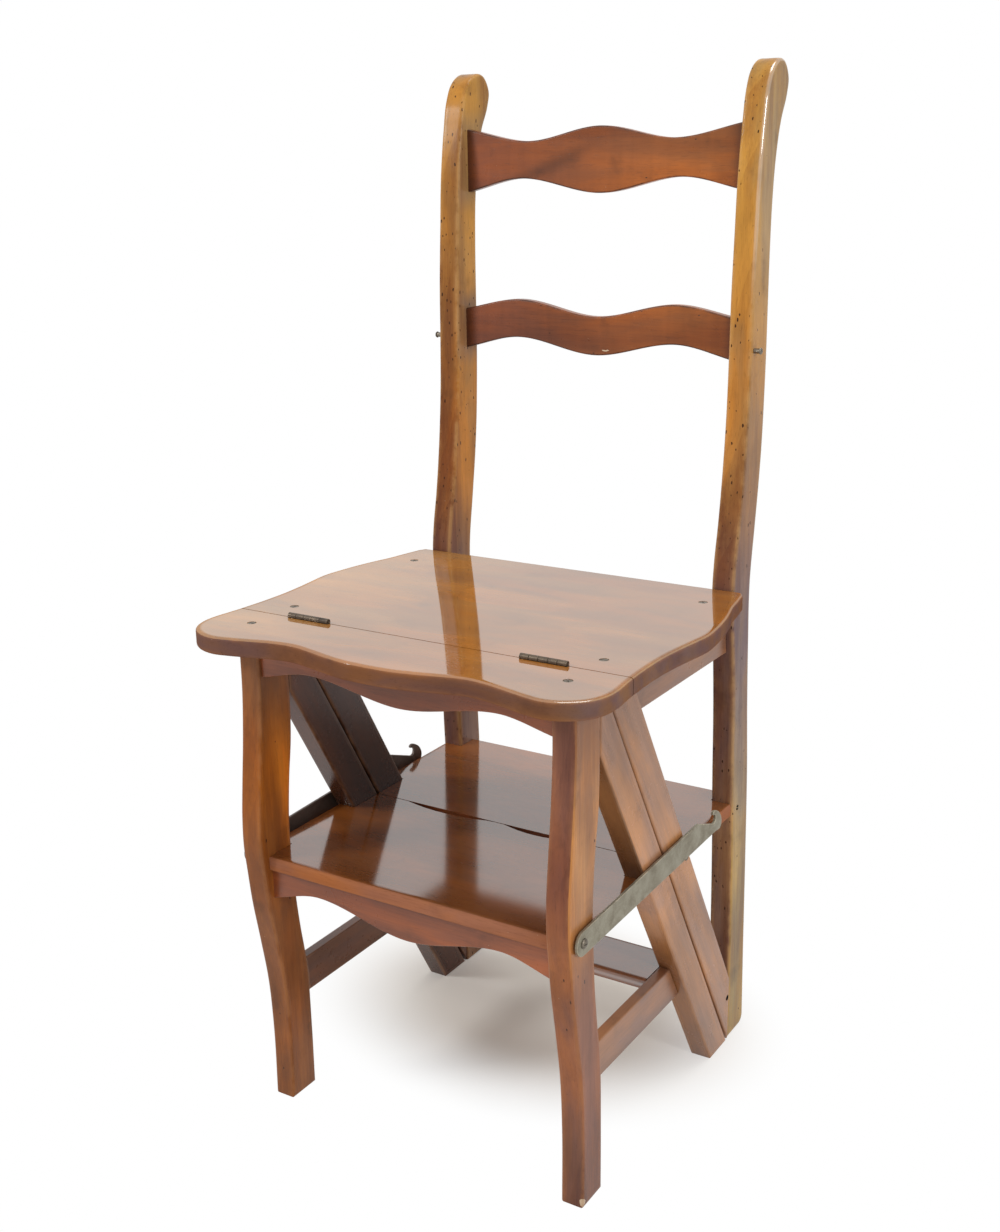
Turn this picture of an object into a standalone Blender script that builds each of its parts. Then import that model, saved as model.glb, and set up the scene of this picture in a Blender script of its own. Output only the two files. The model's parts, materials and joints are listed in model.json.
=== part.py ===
# Library step chair. The rear half of the chair turns over its seat hinges and makes
# a set of steps with the front half; two hook bars then lock the halves together.
# X runs across the chair, Y from front to back, Z up. Lengths are in metres.
# Outlines are drawn in the chair's own plan: Y counts from the seat's split, Z from the floor.

import math

import bmesh
import bpy

# Fits and allowances
FIT = 0.0003              # gap between pieces that touch
SPLIT_GAP = 0.0010        # gap between the two halves along the split
OVERRUN = 0.02            # how far a cut runs past the piece it cuts
EDGE = 0.0015             # softened edge of the square timber
TENON = 0.008             # length of the tenons

# Seat boards
SEAT_TOP = 0.450
SEAT_THICK = 0.015
SEAT_HALF = 0.1925        # half the seat's greatest width
SEAT_FRONT = 0.0752       # from the split to the front edge
SEAT_DEPTH = 0.247        # from the split to the rear edge
SEAT_NOSE = 0.0065
SEAT_BACK_NOSE = 0.0015

# Hinges, let into the two edges of the split
HINGE_RISE = 0.0015       # the axis lies this far above the seat
HINGE_SET = 0.0059        # from the leg's inner face to the hinge
HINGE_LENGTH = 0.0415
KNUCKLE_RADIUS = 0.0025
KNUCKLES = 5
HINGE_BORE = 0.0014
HINGE_PIN_RADIUS = 0.0011
LEAF_THICK = 0.0008
LEAF_DROP = 0.011         # height of a leaf below the knuckles
LEAF_LAP = 0.0004         # how far a leaf runs up into the wall of its knuckles

# Split between the front and the rear half, a slope from the hinge axis to the posts' feet
SPLIT_TOE = 0.003         # at the floor it ends this far in front of the posts

# Front legs
SEAT_OVERHANG = 0.033     # the seat's widest part stands out this far past the legs
SIDE_THICK = 0.0205
KNEE_REACH = 0.047        # the knee stands this far in front of the split

# Stiles on both sides of the split
FRONT_STILE_WIDTH = 0.0368
REAR_STILE_WIDTH = 0.041

# Back posts
POST_HEIGHT = 0.8894
POST_DEPTH = 0.0873       # from its face at the seat to the back of the scroll
POST_INSET = 0.001
POST_THICK = 0.021
POST_FOOT_CHAMFER = 0.009

# Rails under the seat
APRON_DEPTH = 0.033
APRON_WAVE = 0.0125
APRON_THICK = 0.010
APRON_FACE = 0.032        # the apron's face is this far in front of the split
SIDE_RAIL_DEPTH = 0.043
SIDE_RAIL_THICK = 0.014
BACK_RAIL_THICK = 0.012
BACK_RAIL_SET = 0.004     # the back rail stands this far inside the seat's rear edge

# Middle tread
MID_TOP = 0.245
MID_THICK = 0.013
MID_SIDE_INSET = 0.0025   # inside the legs' outer faces
MID_FRONT = 0.038
MID_PAST_POST = 0.0347    # its rear edge is this far behind the post's face at the seat
MID_NOSE = 0.005
MID_APRON_FACE = 0.034
MID_APRON_DEPTH = 0.031
MID_APRON_WAVE = 0.0155
MID_APRON_THICK = 0.010

# Low tread and its side rails
LOW_TOP = 0.126
LOW_THICK = 0.010
LOW_DEPTH = 0.055
LOW_SET = 0.0078          # its rear edge is this far in front of the split
LOW_NOSE = 0.002
LOW_RAIL_TOP = 0.128
LOW_RAIL_DEPTH = 0.034
LOW_RAIL_THICK = 0.010
LOW_RAIL_INSET = 0.009

# Slats of the back
CREST_WIDTH = 0.0555
CREST_WAVE = 0.0115
CREST_HEIGHT_SHARE = 0.9134
SLAT_WIDTH = 0.037
SLAT_WAVE = 0.0115
SLAT_HEIGHT_SHARE = 0.7427
SLAT_THICK = 0.010
SLAT_SEAT_SHARE = 0.58    # the face's place between the front and the rear of the post
SLAT_SOFT = 0.002

# Hook bars and what they work with
BAR_WIDTH = 0.0208
BAR_THICK = 0.0025
PIVOT_FRONT = 0.031       # the pivot stands this far in front of the split
PIVOT_HEIGHT = 0.243
PIVOT_RADIUS = 0.002
PIVOT_HEAD = 0.0042
PIVOT_HEAD_THICK = 0.002
PIVOT_DEPTH = 0.014
WASHER_RADIUS = 0.006
WASHER_THICK = 0.0012
THROAT_RISE = 0.0085      # the hook's throat lies this far above the pivot at rest
STUD_SET = 0.0292         # behind the post's face at the seat
STUD_HEIGHT = 0.6543
STUD_RADIUS = 0.0022
STUD_HEAD = 0.0036
STUD_HEAD_THICK = 0.0018
STUD_PLAY = 0.0005        # room for the bar between the post and the stud's head
STUD_DEPTH = 0.015
REST_PIN_RADIUS = 0.003
REST_PIN_PROUD = 0.0015
REST_PIN_DEPTH = 0.012
REST_PIN_EDGE = 0.002     # in front of the stile's rear edge, at the pivot's height
FOLD_ANGLE = math.radians(182)

# Screws and nails
SCREW_HEAD = 0.0036
SCREW_SHANK = 0.0014
SCREW_LENGTH = 0.028
SCREW_SLOT = 0.0007
SCREW_CONE = 0.0024
SCREW_RIM_SHARE = 0.94    # the head's radius a little way down its cone
DOME_SHARES = (0.85, 0.45)  # the radius of a domed head half way up and at its top
NAIL_HEAD = 0.0017
NAIL_DEPTH = 0.012
END_SCREW_LENGTH = 0.034
END_SCREW_HEAD = 0.0026
END_SCREW_SHANK = 0.0012
FOOT_NAIL_HEIGHT = 0.0463
FOOT_NAIL_SET = 0.0042    # in front of the seam between the stile and the post

# Front leg: height as a share of the leg's, then its face and its back as shares of the knee
LEG_FACE_SHARES = ((0, 0.521), (0.149, 0.511), (0.267, 0.574), (0.368, 0.723), (0.460, 0.872),
                   (0.529, 0.947), (0.586, 1.0), (0.644, 0.989), (0.713, 0.926), (0.805, 0.830),
                   (0.897, 0.766), (1, 0.760))
LEG_BACK_SHARES = ((0, 0.149), (0.138, 0.149), (0.287, 0.106), (0.379, -0.021), (0.437, -0.085),
                   (0.506, -0.128), (0.598, -0.164), (0.703, -0.085), (0.782, 0.021),
                   (0.828, 0.050), (0.920, 0.052), (1, 0.064))

# Back post: height as a share of the post's, then distance behind its face at the seat
# as a share of the sweep. The face runs up, over the scroll, and the back runs down.
POST_FACE_SHARES = ((0, 0.187), (0.157, 0.185), (0.230, 0.165), (0.300, 0.130), (0.370, 0.110),
                    (0.430, 0.070), (0.478, 0.018), (0.506, 0.005), (0.534, 0.036),
                    (0.565, 0.100), (0.618, 0.182), (0.675, 0.239), (0.731, 0.264),
                    (0.787, 0.278), (0.843, 0.315), (0.900, 0.358), (0.945, 0.430),
                    (0.972, 0.492), (0.988, 0.575), (0.997, 0.690), (1, 0.795))
POST_BACK_SHARES = ((0.9985, 0.880), (0.992, 0.955), (0.982, 1.0), (0.968, 0.968),
                    (0.945, 0.845), (0.911, 0.745), (0.873, 0.695), (0.830, 0.675),
                    (0.775, 0.670), (0.723, 0.668), (0.684, 0.655), (0.644, 0.632),
                    (0.607, 0.592), (0.562, 0.523), (0.506, 0.440), (0.444, 0.450),
                    (0.379, 0.480), (0.300, 0.538), (0.200, 0.570), (0.099, 0.592))
POST_FOOT_BACK_SHARE = 0.618

# Seat outline: distance from the split as a share of the board's depth, and half width
# as a share of the seat's greatest half width
STRIP_SHARES = ((1.0, 0), (0.985, 0.12), (0.935, 0.22), (0.868, 0.32), (0.815, 0.42),
                (0.838, 0.52), (0.905, 0.62), (0.972, 0.72), (1.0, 0.79), (0.968, 0.855),
                (0.880, 0.915), (0.745, 0.962), (0.575, 0.986), (0.380, 0.990), (0.190, 0.982))
STRIP_END_SHARE = 0.974
PANEL_SHARES = ((0.115, 0.966), (0.220, 0.966), (0.300, 0.973), (0.395, 0.987), (0.490, 1.0),
                (0.590, 0.988), (0.690, 0.966), (0.760, 0.944), (0.815, 0.924), (0.900, 0.903),
                (0.976, 0.883))
PANEL_CORNER_SHARE = 0.866

# Waves of the aprons and slats: place along half the length, and rise as a share of the wave.
# The last place lies past the shoulder, so that the wave meets it on a slope.
APRON_WAVE_SHARES = ((0, 0), (0.65, 1.0), (1.12, 0.10))
CREST_TOP_WAVE_SHARES = ((0, 0), (0.53, -1.0), (1.15, 0.15))
CREST_LOW_WAVE_SHARES = ((0, -0.13), (0.58, 1.0), (1.15, -0.20))
SLAT_TOP_WAVE_SHARES = ((0, -0.26), (0.58, 0.87), (1.15, -0.15))
SLAT_LOW_WAVE_SHARES = ((0, -0.05), (0.58, 1.08), (1.15, -0.15))
WAVE_POINTS = 22
TENON_HEIGHT_SHARE = 0.6

# Hook: places around the throat's centre as shares of the bar's width
HOOK_BACK_SHARES = ((0.240, -0.606), (0.697, -0.591), (0.784, -0.457), (0.798, -0.240),
                    (0.731, -0.072), (0.591, 0.115), (0.385, 0.269), (0.192, 0.365),
                    (0.024, 0.394), (-0.087, 0.346), (-0.106, 0.269), (0.010, 0.221),
                    (0.125, 0.173), (0.188, 0.077), (0.173, -0.029), (0.115, -0.125),
                    (0, -0.163), (-0.120, -0.135), (-1.63, 0.433))

# Screws in the seat: place from the split as a share of the board's depth
STRIP_SCREW_SHARE = -0.382
PANEL_SCREW_SHARES = (0.107, 0.829)
END_SCREW_SET = 0.0075    # below the middle tread's top
END_SCREW_BACK = 0.0103   # in front of the middle tread's rear edge

ROUND = 16                # sides of the small round pieces
STRAIGHT = 0.05           # a bend in an outline below this sine counts as straight

# What follows from the sizes
HINGE_Z = SEAT_TOP + HINGE_RISE
SEAT_UNDER = SEAT_TOP - SEAT_THICK
MID_UNDER = MID_TOP - MID_THICK
SIDE_OUT = SEAT_HALF - SEAT_OVERHANG
SIDE_IN = SIDE_OUT - SIDE_THICK
HINGE_INNER = SIDE_IN - HINGE_SET - HINGE_LENGTH
MID_HALF = SIDE_OUT - MID_SIDE_INSET
POST_OUT = SIDE_OUT - POST_INSET
POST_IN = POST_OUT - POST_THICK
POST_FACE = SEAT_DEPTH + FIT
MID_BACK = POST_FACE + MID_PAST_POST
STUD_BACK = POST_FACE + STUD_SET
FOOT_FACE = POST_FACE + POST_DEPTH * POST_FACE_SHARES[0][1]
SPLIT_Y = (SEAT_FRONT - POST_FACE - POST_DEPTH) / 2
BAR_IN = SIDE_OUT + WASHER_THICK + 2 * FIT
BAR_OUT = BAR_IN + BAR_THICK
SCREW_X = (SIDE_IN + SIDE_OUT) / 2


def split_y(z):
    """Where the split's slope lies at a height."""
    return (FOOT_FACE - SPLIT_TOE) * (1 - z / HINGE_Z)


def turned_point(y, z, centre_y, centre_z, angle):
    """A point turned about an axis that runs across the chair."""
    reach, rise = y - centre_y, z - centre_z
    return (centre_y + reach * math.cos(angle) - rise * math.sin(angle),
            centre_z + reach * math.sin(angle) + rise * math.cos(angle))


def smooth_line(points, steps):
    """Points on a smooth curve through the given ones, with some steps in each span."""
    lengths = [math.dist(a, b) for a, b in zip(points, points[1:])]
    slopes = []
    for i, point in enumerate(points):
        before = max(i - 1, 0)
        after = min(i + 1, len(points) - 1)
        back = lengths[before] if i > 0 else lengths[0]
        ahead = lengths[i] if i < len(lengths) else lengths[-1]
        slope = []
        for k in (0, 1):
            rise_back = (point[k] - points[before][k]) / back if i > 0 else 0
            rise_ahead = (points[after][k] - point[k]) / ahead if after > i else 0
            if i == 0:
                slope.append(rise_ahead)
            elif after == i:
                slope.append(rise_back)
            else:
                slope.append((rise_back * ahead + rise_ahead * back) / (back + ahead))
        slopes.append(slope)
    line = []
    for i, length in enumerate(lengths):
        for step in range(steps):
            t = step / steps
            start = 2 * t ** 3 - 3 * t ** 2 + 1
            end = 3 * t ** 2 - 2 * t ** 3
            leave = (t ** 3 - 2 * t ** 2 + t) * length
            arrive = (t ** 3 - t ** 2) * length
            line.append(tuple(start * points[i][k] + leave * slopes[i][k]
                              + end * points[i + 1][k] + arrive * slopes[i + 1][k]
                              for k in (0, 1)))
    line.append(tuple(points[-1]))
    return line


def wave(place, knots):
    """Height of a wave that is level at each knot, at a place from 0 to 1."""
    for (start, low), (end, high) in zip(knots, knots[1:]):
        if place <= end:
            t = (place - start) / (end - start)
            return low + (high - low) * (1 - math.cos(math.pi * t)) / 2
    return knots[-1][1]


def counterclockwise(outline):
    """The same outline, running counterclockwise."""
    pairs = zip(outline, outline[1:] + outline[:1])
    area = sum(a[0] * b[1] - b[0] * a[1] for a, b in pairs)
    return outline if area > 0 else outline[::-1]


def inset(outline, widths):
    """A counterclockwise outline drawn in by a width for each of its edges."""
    count = len(outline)
    normals = []
    for i in range(count):
        a, b = outline[i], outline[(i + 1) % count]
        length = math.dist(a, b)
        normals.append((-(b[1] - a[1]) / length, (b[0] - a[0]) / length))
    drawn = []
    for i in range(count):
        na, nb = normals[i - 1], normals[i]
        wa, wb = widths[i - 1], widths[i]
        turn = na[0] * nb[1] - na[1] * nb[0]
        if wa == wb or abs(turn) < STRAIGHT:
            scale = (wa + wb) / 2 / (1 + na[0] * nb[0] + na[1] * nb[1])
            shift = ((na[0] + nb[0]) * scale, (na[1] + nb[1]) * scale)
        else:
            shift = ((wa * nb[1] - wb * na[1]) / turn, (wb * na[0] - wa * nb[0]) / turn)
        drawn.append((outline[i][0] + shift[0], outline[i][1] + shift[1]))
    return drawn


def grown(outline, width=FIT):
    """An outline let out by the fit, for cutting a neighbour."""
    outline = counterclockwise(outline)
    return inset(outline, [-width] * len(outline))


def circle(radius, centre, sides=ROUND):
    """Points on a circle."""
    turns = [2 * math.pi * i / sides for i in range(sides)]
    return [(centre[0] + radius * math.cos(t), centre[1] + radius * math.sin(t)) for t in turns]


def box(low, high):
    """A rectangle's four corners."""
    return [(low[0], low[1]), (high[0], low[1]), (high[0], high[1]), (low[0], high[1])]


def placed(point, height, axis):
    """A point of an outline, and its height along the axis, as X, Y, Z."""
    a, b = point
    return {"X": (height, a, b), "Y": (a, height, b), "Z": (a, b, height)}[axis]


def mesh_from_rings(name, rings, axis, hollow=False):
    """A closed mesh over rings of points; a hollow one runs back to its first ring."""
    bm = bmesh.new()
    loops = [[bm.verts.new(placed(p, h, axis)) for p in ring] for ring, h in rings]
    pairs = list(zip(loops, loops[1:]))
    if hollow:
        pairs.append((loops[-1], loops[0]))
    else:
        bm.faces.new(loops[0])
        bm.faces.new(loops[-1])
    for lower, upper in pairs:
        for i in range(len(lower)):
            j = (i + 1) % len(lower)
            bm.faces.new((lower[i], lower[j], upper[j], upper[i]))
    bmesh.ops.recalc_face_normals(bm, faces=bm.faces)
    mesh = bpy.data.meshes.new(name)
    bm.to_mesh(mesh)
    bm.free()
    return mesh


def make_material(name, colour, roughness, metallic=0):
    """A plain finish."""
    material = bpy.data.materials.new(name)
    material.use_nodes = True
    shader = material.node_tree.nodes["Principled BSDF"]
    shader.inputs["Base Color"].default_value = (*colour, 1)
    shader.inputs["Roughness"].default_value = roughness
    shader.inputs["Metallic"].default_value = metallic
    return material


WOODS = {"honey": (0.30, 0.125, 0.045), "red_brown": (0.19, 0.065, 0.03),
         "seat": (0.27, 0.105, 0.045)}
METALS = {"bar": (0.27, 0.25, 0.17), "bronze": (0.11, 0.09, 0.065)}
WOOD_ROUGHNESS = 0.35
METAL_ROUGHNESS = 0.45


def add_piece(name, mesh, body, finish):
    """A node of the chair, carried by its body's empty."""
    piece = bpy.data.objects.new(name, mesh)
    bpy.context.scene.collection.objects.link(piece)
    carrier = BODIES[body]
    piece.parent = carrier
    piece.location = [-value for value in carrier["chair_place"]]
    if finish in WOODS:
        material = make_material(name + "_finish", WOODS[finish], WOOD_ROUGHNESS)
    else:
        material = make_material(name + "_finish", METALS[finish], METAL_ROUGHNESS, 1)
    mesh.materials.append(material)
    return piece


def add_cutter(name, mesh):
    """A guide shape that only cuts its neighbours."""
    cutter = bpy.data.objects.new(name, mesh)
    bpy.context.scene.collection.objects.link(cutter)
    cutter.parent = BODIES["front"]
    cutter.hide_render = True
    cutter.display_type = "WIRE"
    return cutter


def cut(piece, *cutters):
    """Take the cutters' shapes out of a piece."""
    for cutter in cutters:
        modifier = piece.modifiers.new("cut_" + cutter.name, "BOOLEAN")
        modifier.operation = "DIFFERENCE"
        modifier.solver = "EXACT"
        modifier.object = cutter


def edge_between(a, b):
    """The name of an outline's edge, whichever way it runs."""
    return tuple(sorted((a, b)))


def board_mesh(name, outline, low, high, axis, nose=0, steps=1, edges=None, split=0):
    """A board whose edges are rounded by the nose, or by a share of it where edges says so.

    A split of -1 or 1 lets an edge with no nose follow the split's slope, on its front
    or its rear side.
    """
    outline = counterclockwise(outline)
    edges = edges or {}
    shares = [edges.get(edge_between(a, b), 1) for a, b in zip(outline, outline[1:] + outline[:1])]
    square = {point for edge, share in edges.items() if share == 0 for point in edge}
    heights = [(low, 1), (high, 1)]
    if nose:
        turns = [math.pi / 2 * i / steps for i in range(steps + 1)]
        lower = [(low + nose * (1 - math.cos(t)), 1 - math.sin(t)) for t in turns]
        upper = [(high - nose * (1 - math.cos(t)), 1 - math.sin(t)) for t in reversed(turns)]
        heights = lower + upper
    rings = []
    for height, drawn in heights:
        ring = inset(outline, [nose * drawn * share for share in shares])
        if split:
            slope = split_y(height) + split * SPLIT_GAP / 2
            ring = [(point[0], slope) if corner in square else point
                    for point, corner in zip(ring, outline)]
        rings.append((ring, height))
    return mesh_from_rings(name, rings, axis)


def turned_mesh(name, profile, axis, centre, sides=ROUND, hollow=False):
    """A round piece from pairs of height along the axis and radius."""
    rings = [(circle(radius, centre, sides), height) for height, radius in profile]
    return mesh_from_rings(name, rings, axis, hollow)


def join_meshes(name, meshes):
    """Several closed shapes as one mesh."""
    bm = bmesh.new()
    for mesh in meshes:
        bm.from_mesh(mesh)
        bpy.data.meshes.remove(mesh)
    joined = bpy.data.meshes.new(name)
    bm.to_mesh(joined)
    bm.free()
    return joined


def shade_round(mesh):
    """Smooth shading on a round piece, with its corners kept."""
    mesh.shade_smooth()
    mesh.set_sharp_from_angle(angle=math.radians(40))


def sided(low, high, side):
    """A range across the chair, on one side of it."""
    return tuple(sorted((side * low, side * high)))


def add_body(name, y, z):
    """The empty that carries one body, on that body's axis."""
    carrier = bpy.data.objects.new(name + "_carrier", None)
    bpy.context.scene.collection.objects.link(carrier)
    carrier.location = (0, SPLIT_Y + y, z)
    carrier["chair_place"] = (0, y, z)
    return carrier


for old in list(bpy.data.objects):
    bpy.data.objects.remove(old, do_unlink=True)

BODIES = {"front": add_body("front", 0, 0),
          "rear": add_body("rear", 0, HINGE_Z),
          "bar_left": add_body("bar_left", -PIVOT_FRONT, PIVOT_HEIGHT),
          "bar_right": add_body("bar_right", -PIVOT_FRONT, PIVOT_HEIGHT)}
SIDES = {"left": -1, "right": 1}


# Front legs: one sawn shape, hollow above and below the knee
leg_top = SEAT_UNDER - FIT
leg_face = smooth_line([(-KNEE_REACH * out, leg_top * up) for up, out in LEG_FACE_SHARES], 2)
leg_back = smooth_line([(KNEE_REACH * out, leg_top * up) for up, out in LEG_BACK_SHARES], 2)
LEG = leg_face + leg_back[::-1]

# Back posts: sawn in one sweep from the floor to the scroll
post_line = smooth_line([(POST_FACE + POST_DEPTH * back, POST_HEIGHT * up)
                         for up, back in POST_FACE_SHARES + POST_BACK_SHARES], 2)
post_face = post_line[:2 * len(POST_FACE_SHARES) - 1]
post_back = post_line[:len(post_face) - 2:-1]
foot_back = POST_FACE + POST_DEPTH * POST_FOOT_BACK_SHARE
POST = post_line + [(foot_back, POST_FOOT_CHAMFER), (foot_back - POST_FOOT_CHAMFER, 0)]


# Stiles: straight boards on both faces of the split
def stile_outline(near, far):
    """A stile seen from the side, between two lines along the split's slope."""
    top = SEAT_UNDER - FIT
    return [(split_y(0) + near, 0), (split_y(0) + far, 0),
            (split_y(top) + far, top), (split_y(top) + near, top)]


def depth_at(line, height):
    """How far back a line that climbs from the floor lies at a height."""
    for (y_low, z_low), (y_high, z_high) in zip(line, line[1:]):
        if z_low <= height <= z_high:
            return y_low + (y_high - y_low) * (height - z_low) / (z_high - z_low)
    return line[0][0]


FRONT_STILE = stile_outline(-FRONT_STILE_WIDTH, -SPLIT_GAP / 2)
REAR_STILE = stile_outline(SPLIT_GAP / 2, REAR_STILE_WIDTH)
REACH = POST_FACE + POST_DEPTH + OVERRUN


def beside(line, far):
    """All that lies on one side of a line that climbs from the floor, as an outline."""
    top, floor = line[-1][1] + OVERRUN, line[0][1] - OVERRUN
    return line + [(line[-1][0], top), (far, top), (far, floor), (line[0][0], floor)]


# What the side members leave free for the rails and treads that meet them
frame_cutters = {}
sloping = [(split_y(0) - FRONT_STILE_WIDTH, 0), (split_y(leg_top) - FRONT_STILE_WIDTH, leg_top)]
falling = [(split_y(0) + REAR_STILE_WIDTH, 0), (split_y(leg_top) + REAR_STILE_WIDTH, leg_top)]
for side_name, side in SIDES.items():
    for shape_name, line, far, inner in (("leg", leg_back, -REACH, SIDE_IN),
                                         ("front_stile", sloping, REACH, SIDE_IN),
                                         ("rear_stile", falling, -REACH, SIDE_IN),
                                         ("post", post_face, REACH, POST_IN)):
        name = shape_name + "_cutter_" + side_name
        low, high = sided(inner - FIT, SIDE_OUT + OVERRUN, side)
        mesh = board_mesh(name, grown(beside(line, far)), low, high, "X")
        frame_cutters[shape_name, side_name] = add_cutter(name, mesh)

# Everything in front of the split, for keeping the posts clear of it
slope = [(split_y(z) + SPLIT_GAP / 2, z) for z in (-OVERRUN, SEAT_UNDER)]
slope += [(-REACH, SEAT_UNDER), (-REACH, -OVERRUN)]
front_half = add_cutter("front_half", board_mesh("front_half", slope, -SEAT_HALF, SEAT_HALF, "X"))

legs, front_stiles, rear_stiles, posts = {}, {}, {}, {}
for side_name, side in SIDES.items():
    low, high = sided(SIDE_IN, SIDE_OUT, side)
    mesh = board_mesh("front_leg_" + side_name, LEG, low, high, "X", EDGE)
    legs[side_name] = add_piece("front_leg_" + side_name, mesh, "front", "honey")
    mesh = board_mesh("front_stile_" + side_name, FRONT_STILE, low, high, "X", EDGE)
    front_stiles[side_name] = add_piece("front_stile_" + side_name, mesh, "front", "red_brown")
    cut(front_stiles[side_name], frame_cutters["leg", side_name])
    mesh = board_mesh("rear_stile_" + side_name, REAR_STILE, low, high, "X", EDGE)
    rear_stiles[side_name] = add_piece("rear_stile_" + side_name, mesh, "rear", "red_brown")
    cut(rear_stiles[side_name], frame_cutters["post", side_name])
    low, high = sided(POST_IN, POST_OUT, side)
    mesh = board_mesh("back_post_" + side_name, POST, low, high, "X", EDGE)
    posts[side_name] = add_piece("back_post_" + side_name, mesh, "rear", "honey")
    cut(posts[side_name], front_half)


# Seat: a fixed front strip and a panel that turns with the rear half
def mirrored(points):
    """An outline's points on one side, then on the other in reverse."""
    return points + [(-x, y) for x, y in reversed(points) if x > 0]


def strip_outline():
    """The front strip from above, with its lobes."""
    curve = [(SEAT_HALF * half, -SEAT_FRONT * depth) for depth, half in STRIP_SHARES]
    curve.append((SEAT_HALF * STRIP_END_SHARE, -SPLIT_GAP / 2))
    return mirrored(smooth_line(curve, 2)[::-1])


def panel_outline():
    """The rear panel from above, widest at its middle."""
    curve = [(SEAT_HALF * STRIP_END_SHARE, SPLIT_GAP / 2)]
    curve += [(SEAT_HALF * half, SEAT_DEPTH * depth) for depth, half in PANEL_SHARES]
    corner = (SEAT_HALF * PANEL_CORNER_SHARE, SEAT_DEPTH)
    return mirrored(smooth_line(curve, 2) + [corner])


outline = strip_outline()
seat_edge = {edge_between(outline[0], outline[-1]): 0}
mesh = board_mesh("seat_front_strip", outline, SEAT_UNDER, SEAT_TOP, "Z", SEAT_NOSE, 3, seat_edge)
seat_strip = add_piece("seat_front_strip", mesh, "front", "seat")

outline = panel_outline()
corner = (SEAT_HALF * PANEL_CORNER_SHARE, SEAT_DEPTH)
seat_edge = {edge_between(outline[0], outline[-1]): 0,
             edge_between(corner, (-corner[0], corner[1])): SEAT_BACK_NOSE / SEAT_NOSE}
mesh = board_mesh("seat_rear_panel", outline, SEAT_UNDER, SEAT_TOP, "Z", SEAT_NOSE, 3, seat_edge)
seat_panel = add_piece("seat_rear_panel", mesh, "rear", "seat")


# Aprons and slats: wavy boards with a tenon at each end
def wavy_outline(half, top, low, top_wave, low_wave, amplitude, middle):
    """A board from the front: shoulders at the half length, tenons past them."""
    places = [2 * i / WAVE_POINTS - 1 for i in range(WAVE_POINTS + 1)]
    upper = [(half * p, top + amplitude * wave(abs(p), top_wave)) for p in places]
    lower = [(half * p, low + amplitude * wave(abs(p), low_wave)) for p in places]
    tall = (top - low) * TENON_HEIGHT_SHARE / 2
    end = half + TENON
    left = [(-half, middle + tall), (-end, middle + tall), (-end, middle - tall),
            (-half, middle - tall)]
    right = [(half, middle - tall), (end, middle - tall), (end, middle + tall),
             (half, middle + tall)]
    return lower + right + upper[::-1] + left


def tenon_cutters(name, half, middle, tall, front, back):
    """Mortises for the two tenons of a board."""
    cutters = {}
    for side_name, side in SIDES.items():
        low, high = sided(half - OVERRUN, half + TENON + FIT, side)
        outline = box((low, middle - tall / 2 - FIT), (high, middle + tall / 2 + FIT))
        mesh = board_mesh(name + "_mortise_" + side_name, outline, front - FIT, back + FIT, "Y")
        cutters[side_name] = add_cutter(name + "_mortise_" + side_name, mesh)
    return cutters


def add_wavy(name, sizes, waves, body, finish, into, soft=0):
    """A wavy board between two uprights, and its mortises in them."""
    half, top, low, front, back, amplitude, middle = sizes
    outline = wavy_outline(half, top, low, waves[0], waves[1], amplitude, middle)
    mesh = board_mesh(name, outline, front, back, "Y", soft)
    piece = add_piece(name, mesh, body, finish)
    tall = (top - low) * TENON_HEIGHT_SHARE
    for side_name, cutter in tenon_cutters(name, half, middle, tall, front, back).items():
        cut(into[side_name], cutter)
    return piece


FLAT_WAVE_SHARES = ((0, 0), (2, 0))
top = SEAT_UNDER - FIT
low = SEAT_UNDER - APRON_DEPTH
add_wavy("seat_apron",
         (SIDE_IN - FIT, top, low, -APRON_FACE, APRON_THICK - APRON_FACE, APRON_WAVE,
          (top + low) / 2),
         (FLAT_WAVE_SHARES, APRON_WAVE_SHARES), "front", "red_brown", legs)
top = MID_UNDER - FIT
low = MID_UNDER - MID_APRON_DEPTH
add_wavy("mid_tread_apron",
         (SIDE_IN - FIT, top, low, -MID_APRON_FACE, MID_APRON_THICK - MID_APRON_FACE,
          MID_APRON_WAVE, (top + low) / 2),
         (FLAT_WAVE_SHARES, APRON_WAVE_SHARES), "front", "red_brown", legs)

for name, width, amplitude, height_share, waves in (
        ("crest_slat", CREST_WIDTH, CREST_WAVE, CREST_HEIGHT_SHARE,
         (CREST_TOP_WAVE_SHARES, CREST_LOW_WAVE_SHARES)),
        ("lower_slat", SLAT_WIDTH, SLAT_WAVE, SLAT_HEIGHT_SHARE,
         (SLAT_TOP_WAVE_SHARES, SLAT_LOW_WAVE_SHARES))):
    middle = POST_HEIGHT * height_share
    front, back = depth_at(post_face, middle), depth_at(post_back, middle)
    face = front + (back - front) * SLAT_SEAT_SHARE - SLAT_THICK / 2
    add_wavy(name, (POST_IN - FIT, middle + width / 2, middle - width / 2, face,
                    face + SLAT_THICK, amplitude, middle),
             waves, "rear", "red_brown", posts, SLAT_SOFT)

# Rails under the rear seat panel
for side_name, side in SIDES.items():
    name = "seat_side_rail_" + side_name
    low, high = sided(POST_IN + FIT, POST_IN + FIT + SIDE_RAIL_THICK, side)
    floor = SEAT_UNDER - SIDE_RAIL_DEPTH
    outline = box((split_y(SEAT_UNDER) + REAR_STILE_WIDTH / 2, floor),
                  (POST_FACE + POST_DEPTH / 4, SEAT_UNDER - FIT))
    rail = add_piece(name, board_mesh(name, outline, low, high, "X"), "rear", "red_brown")
    cut(rail, frame_cutters["rear_stile", side_name], frame_cutters["post", side_name])

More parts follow.
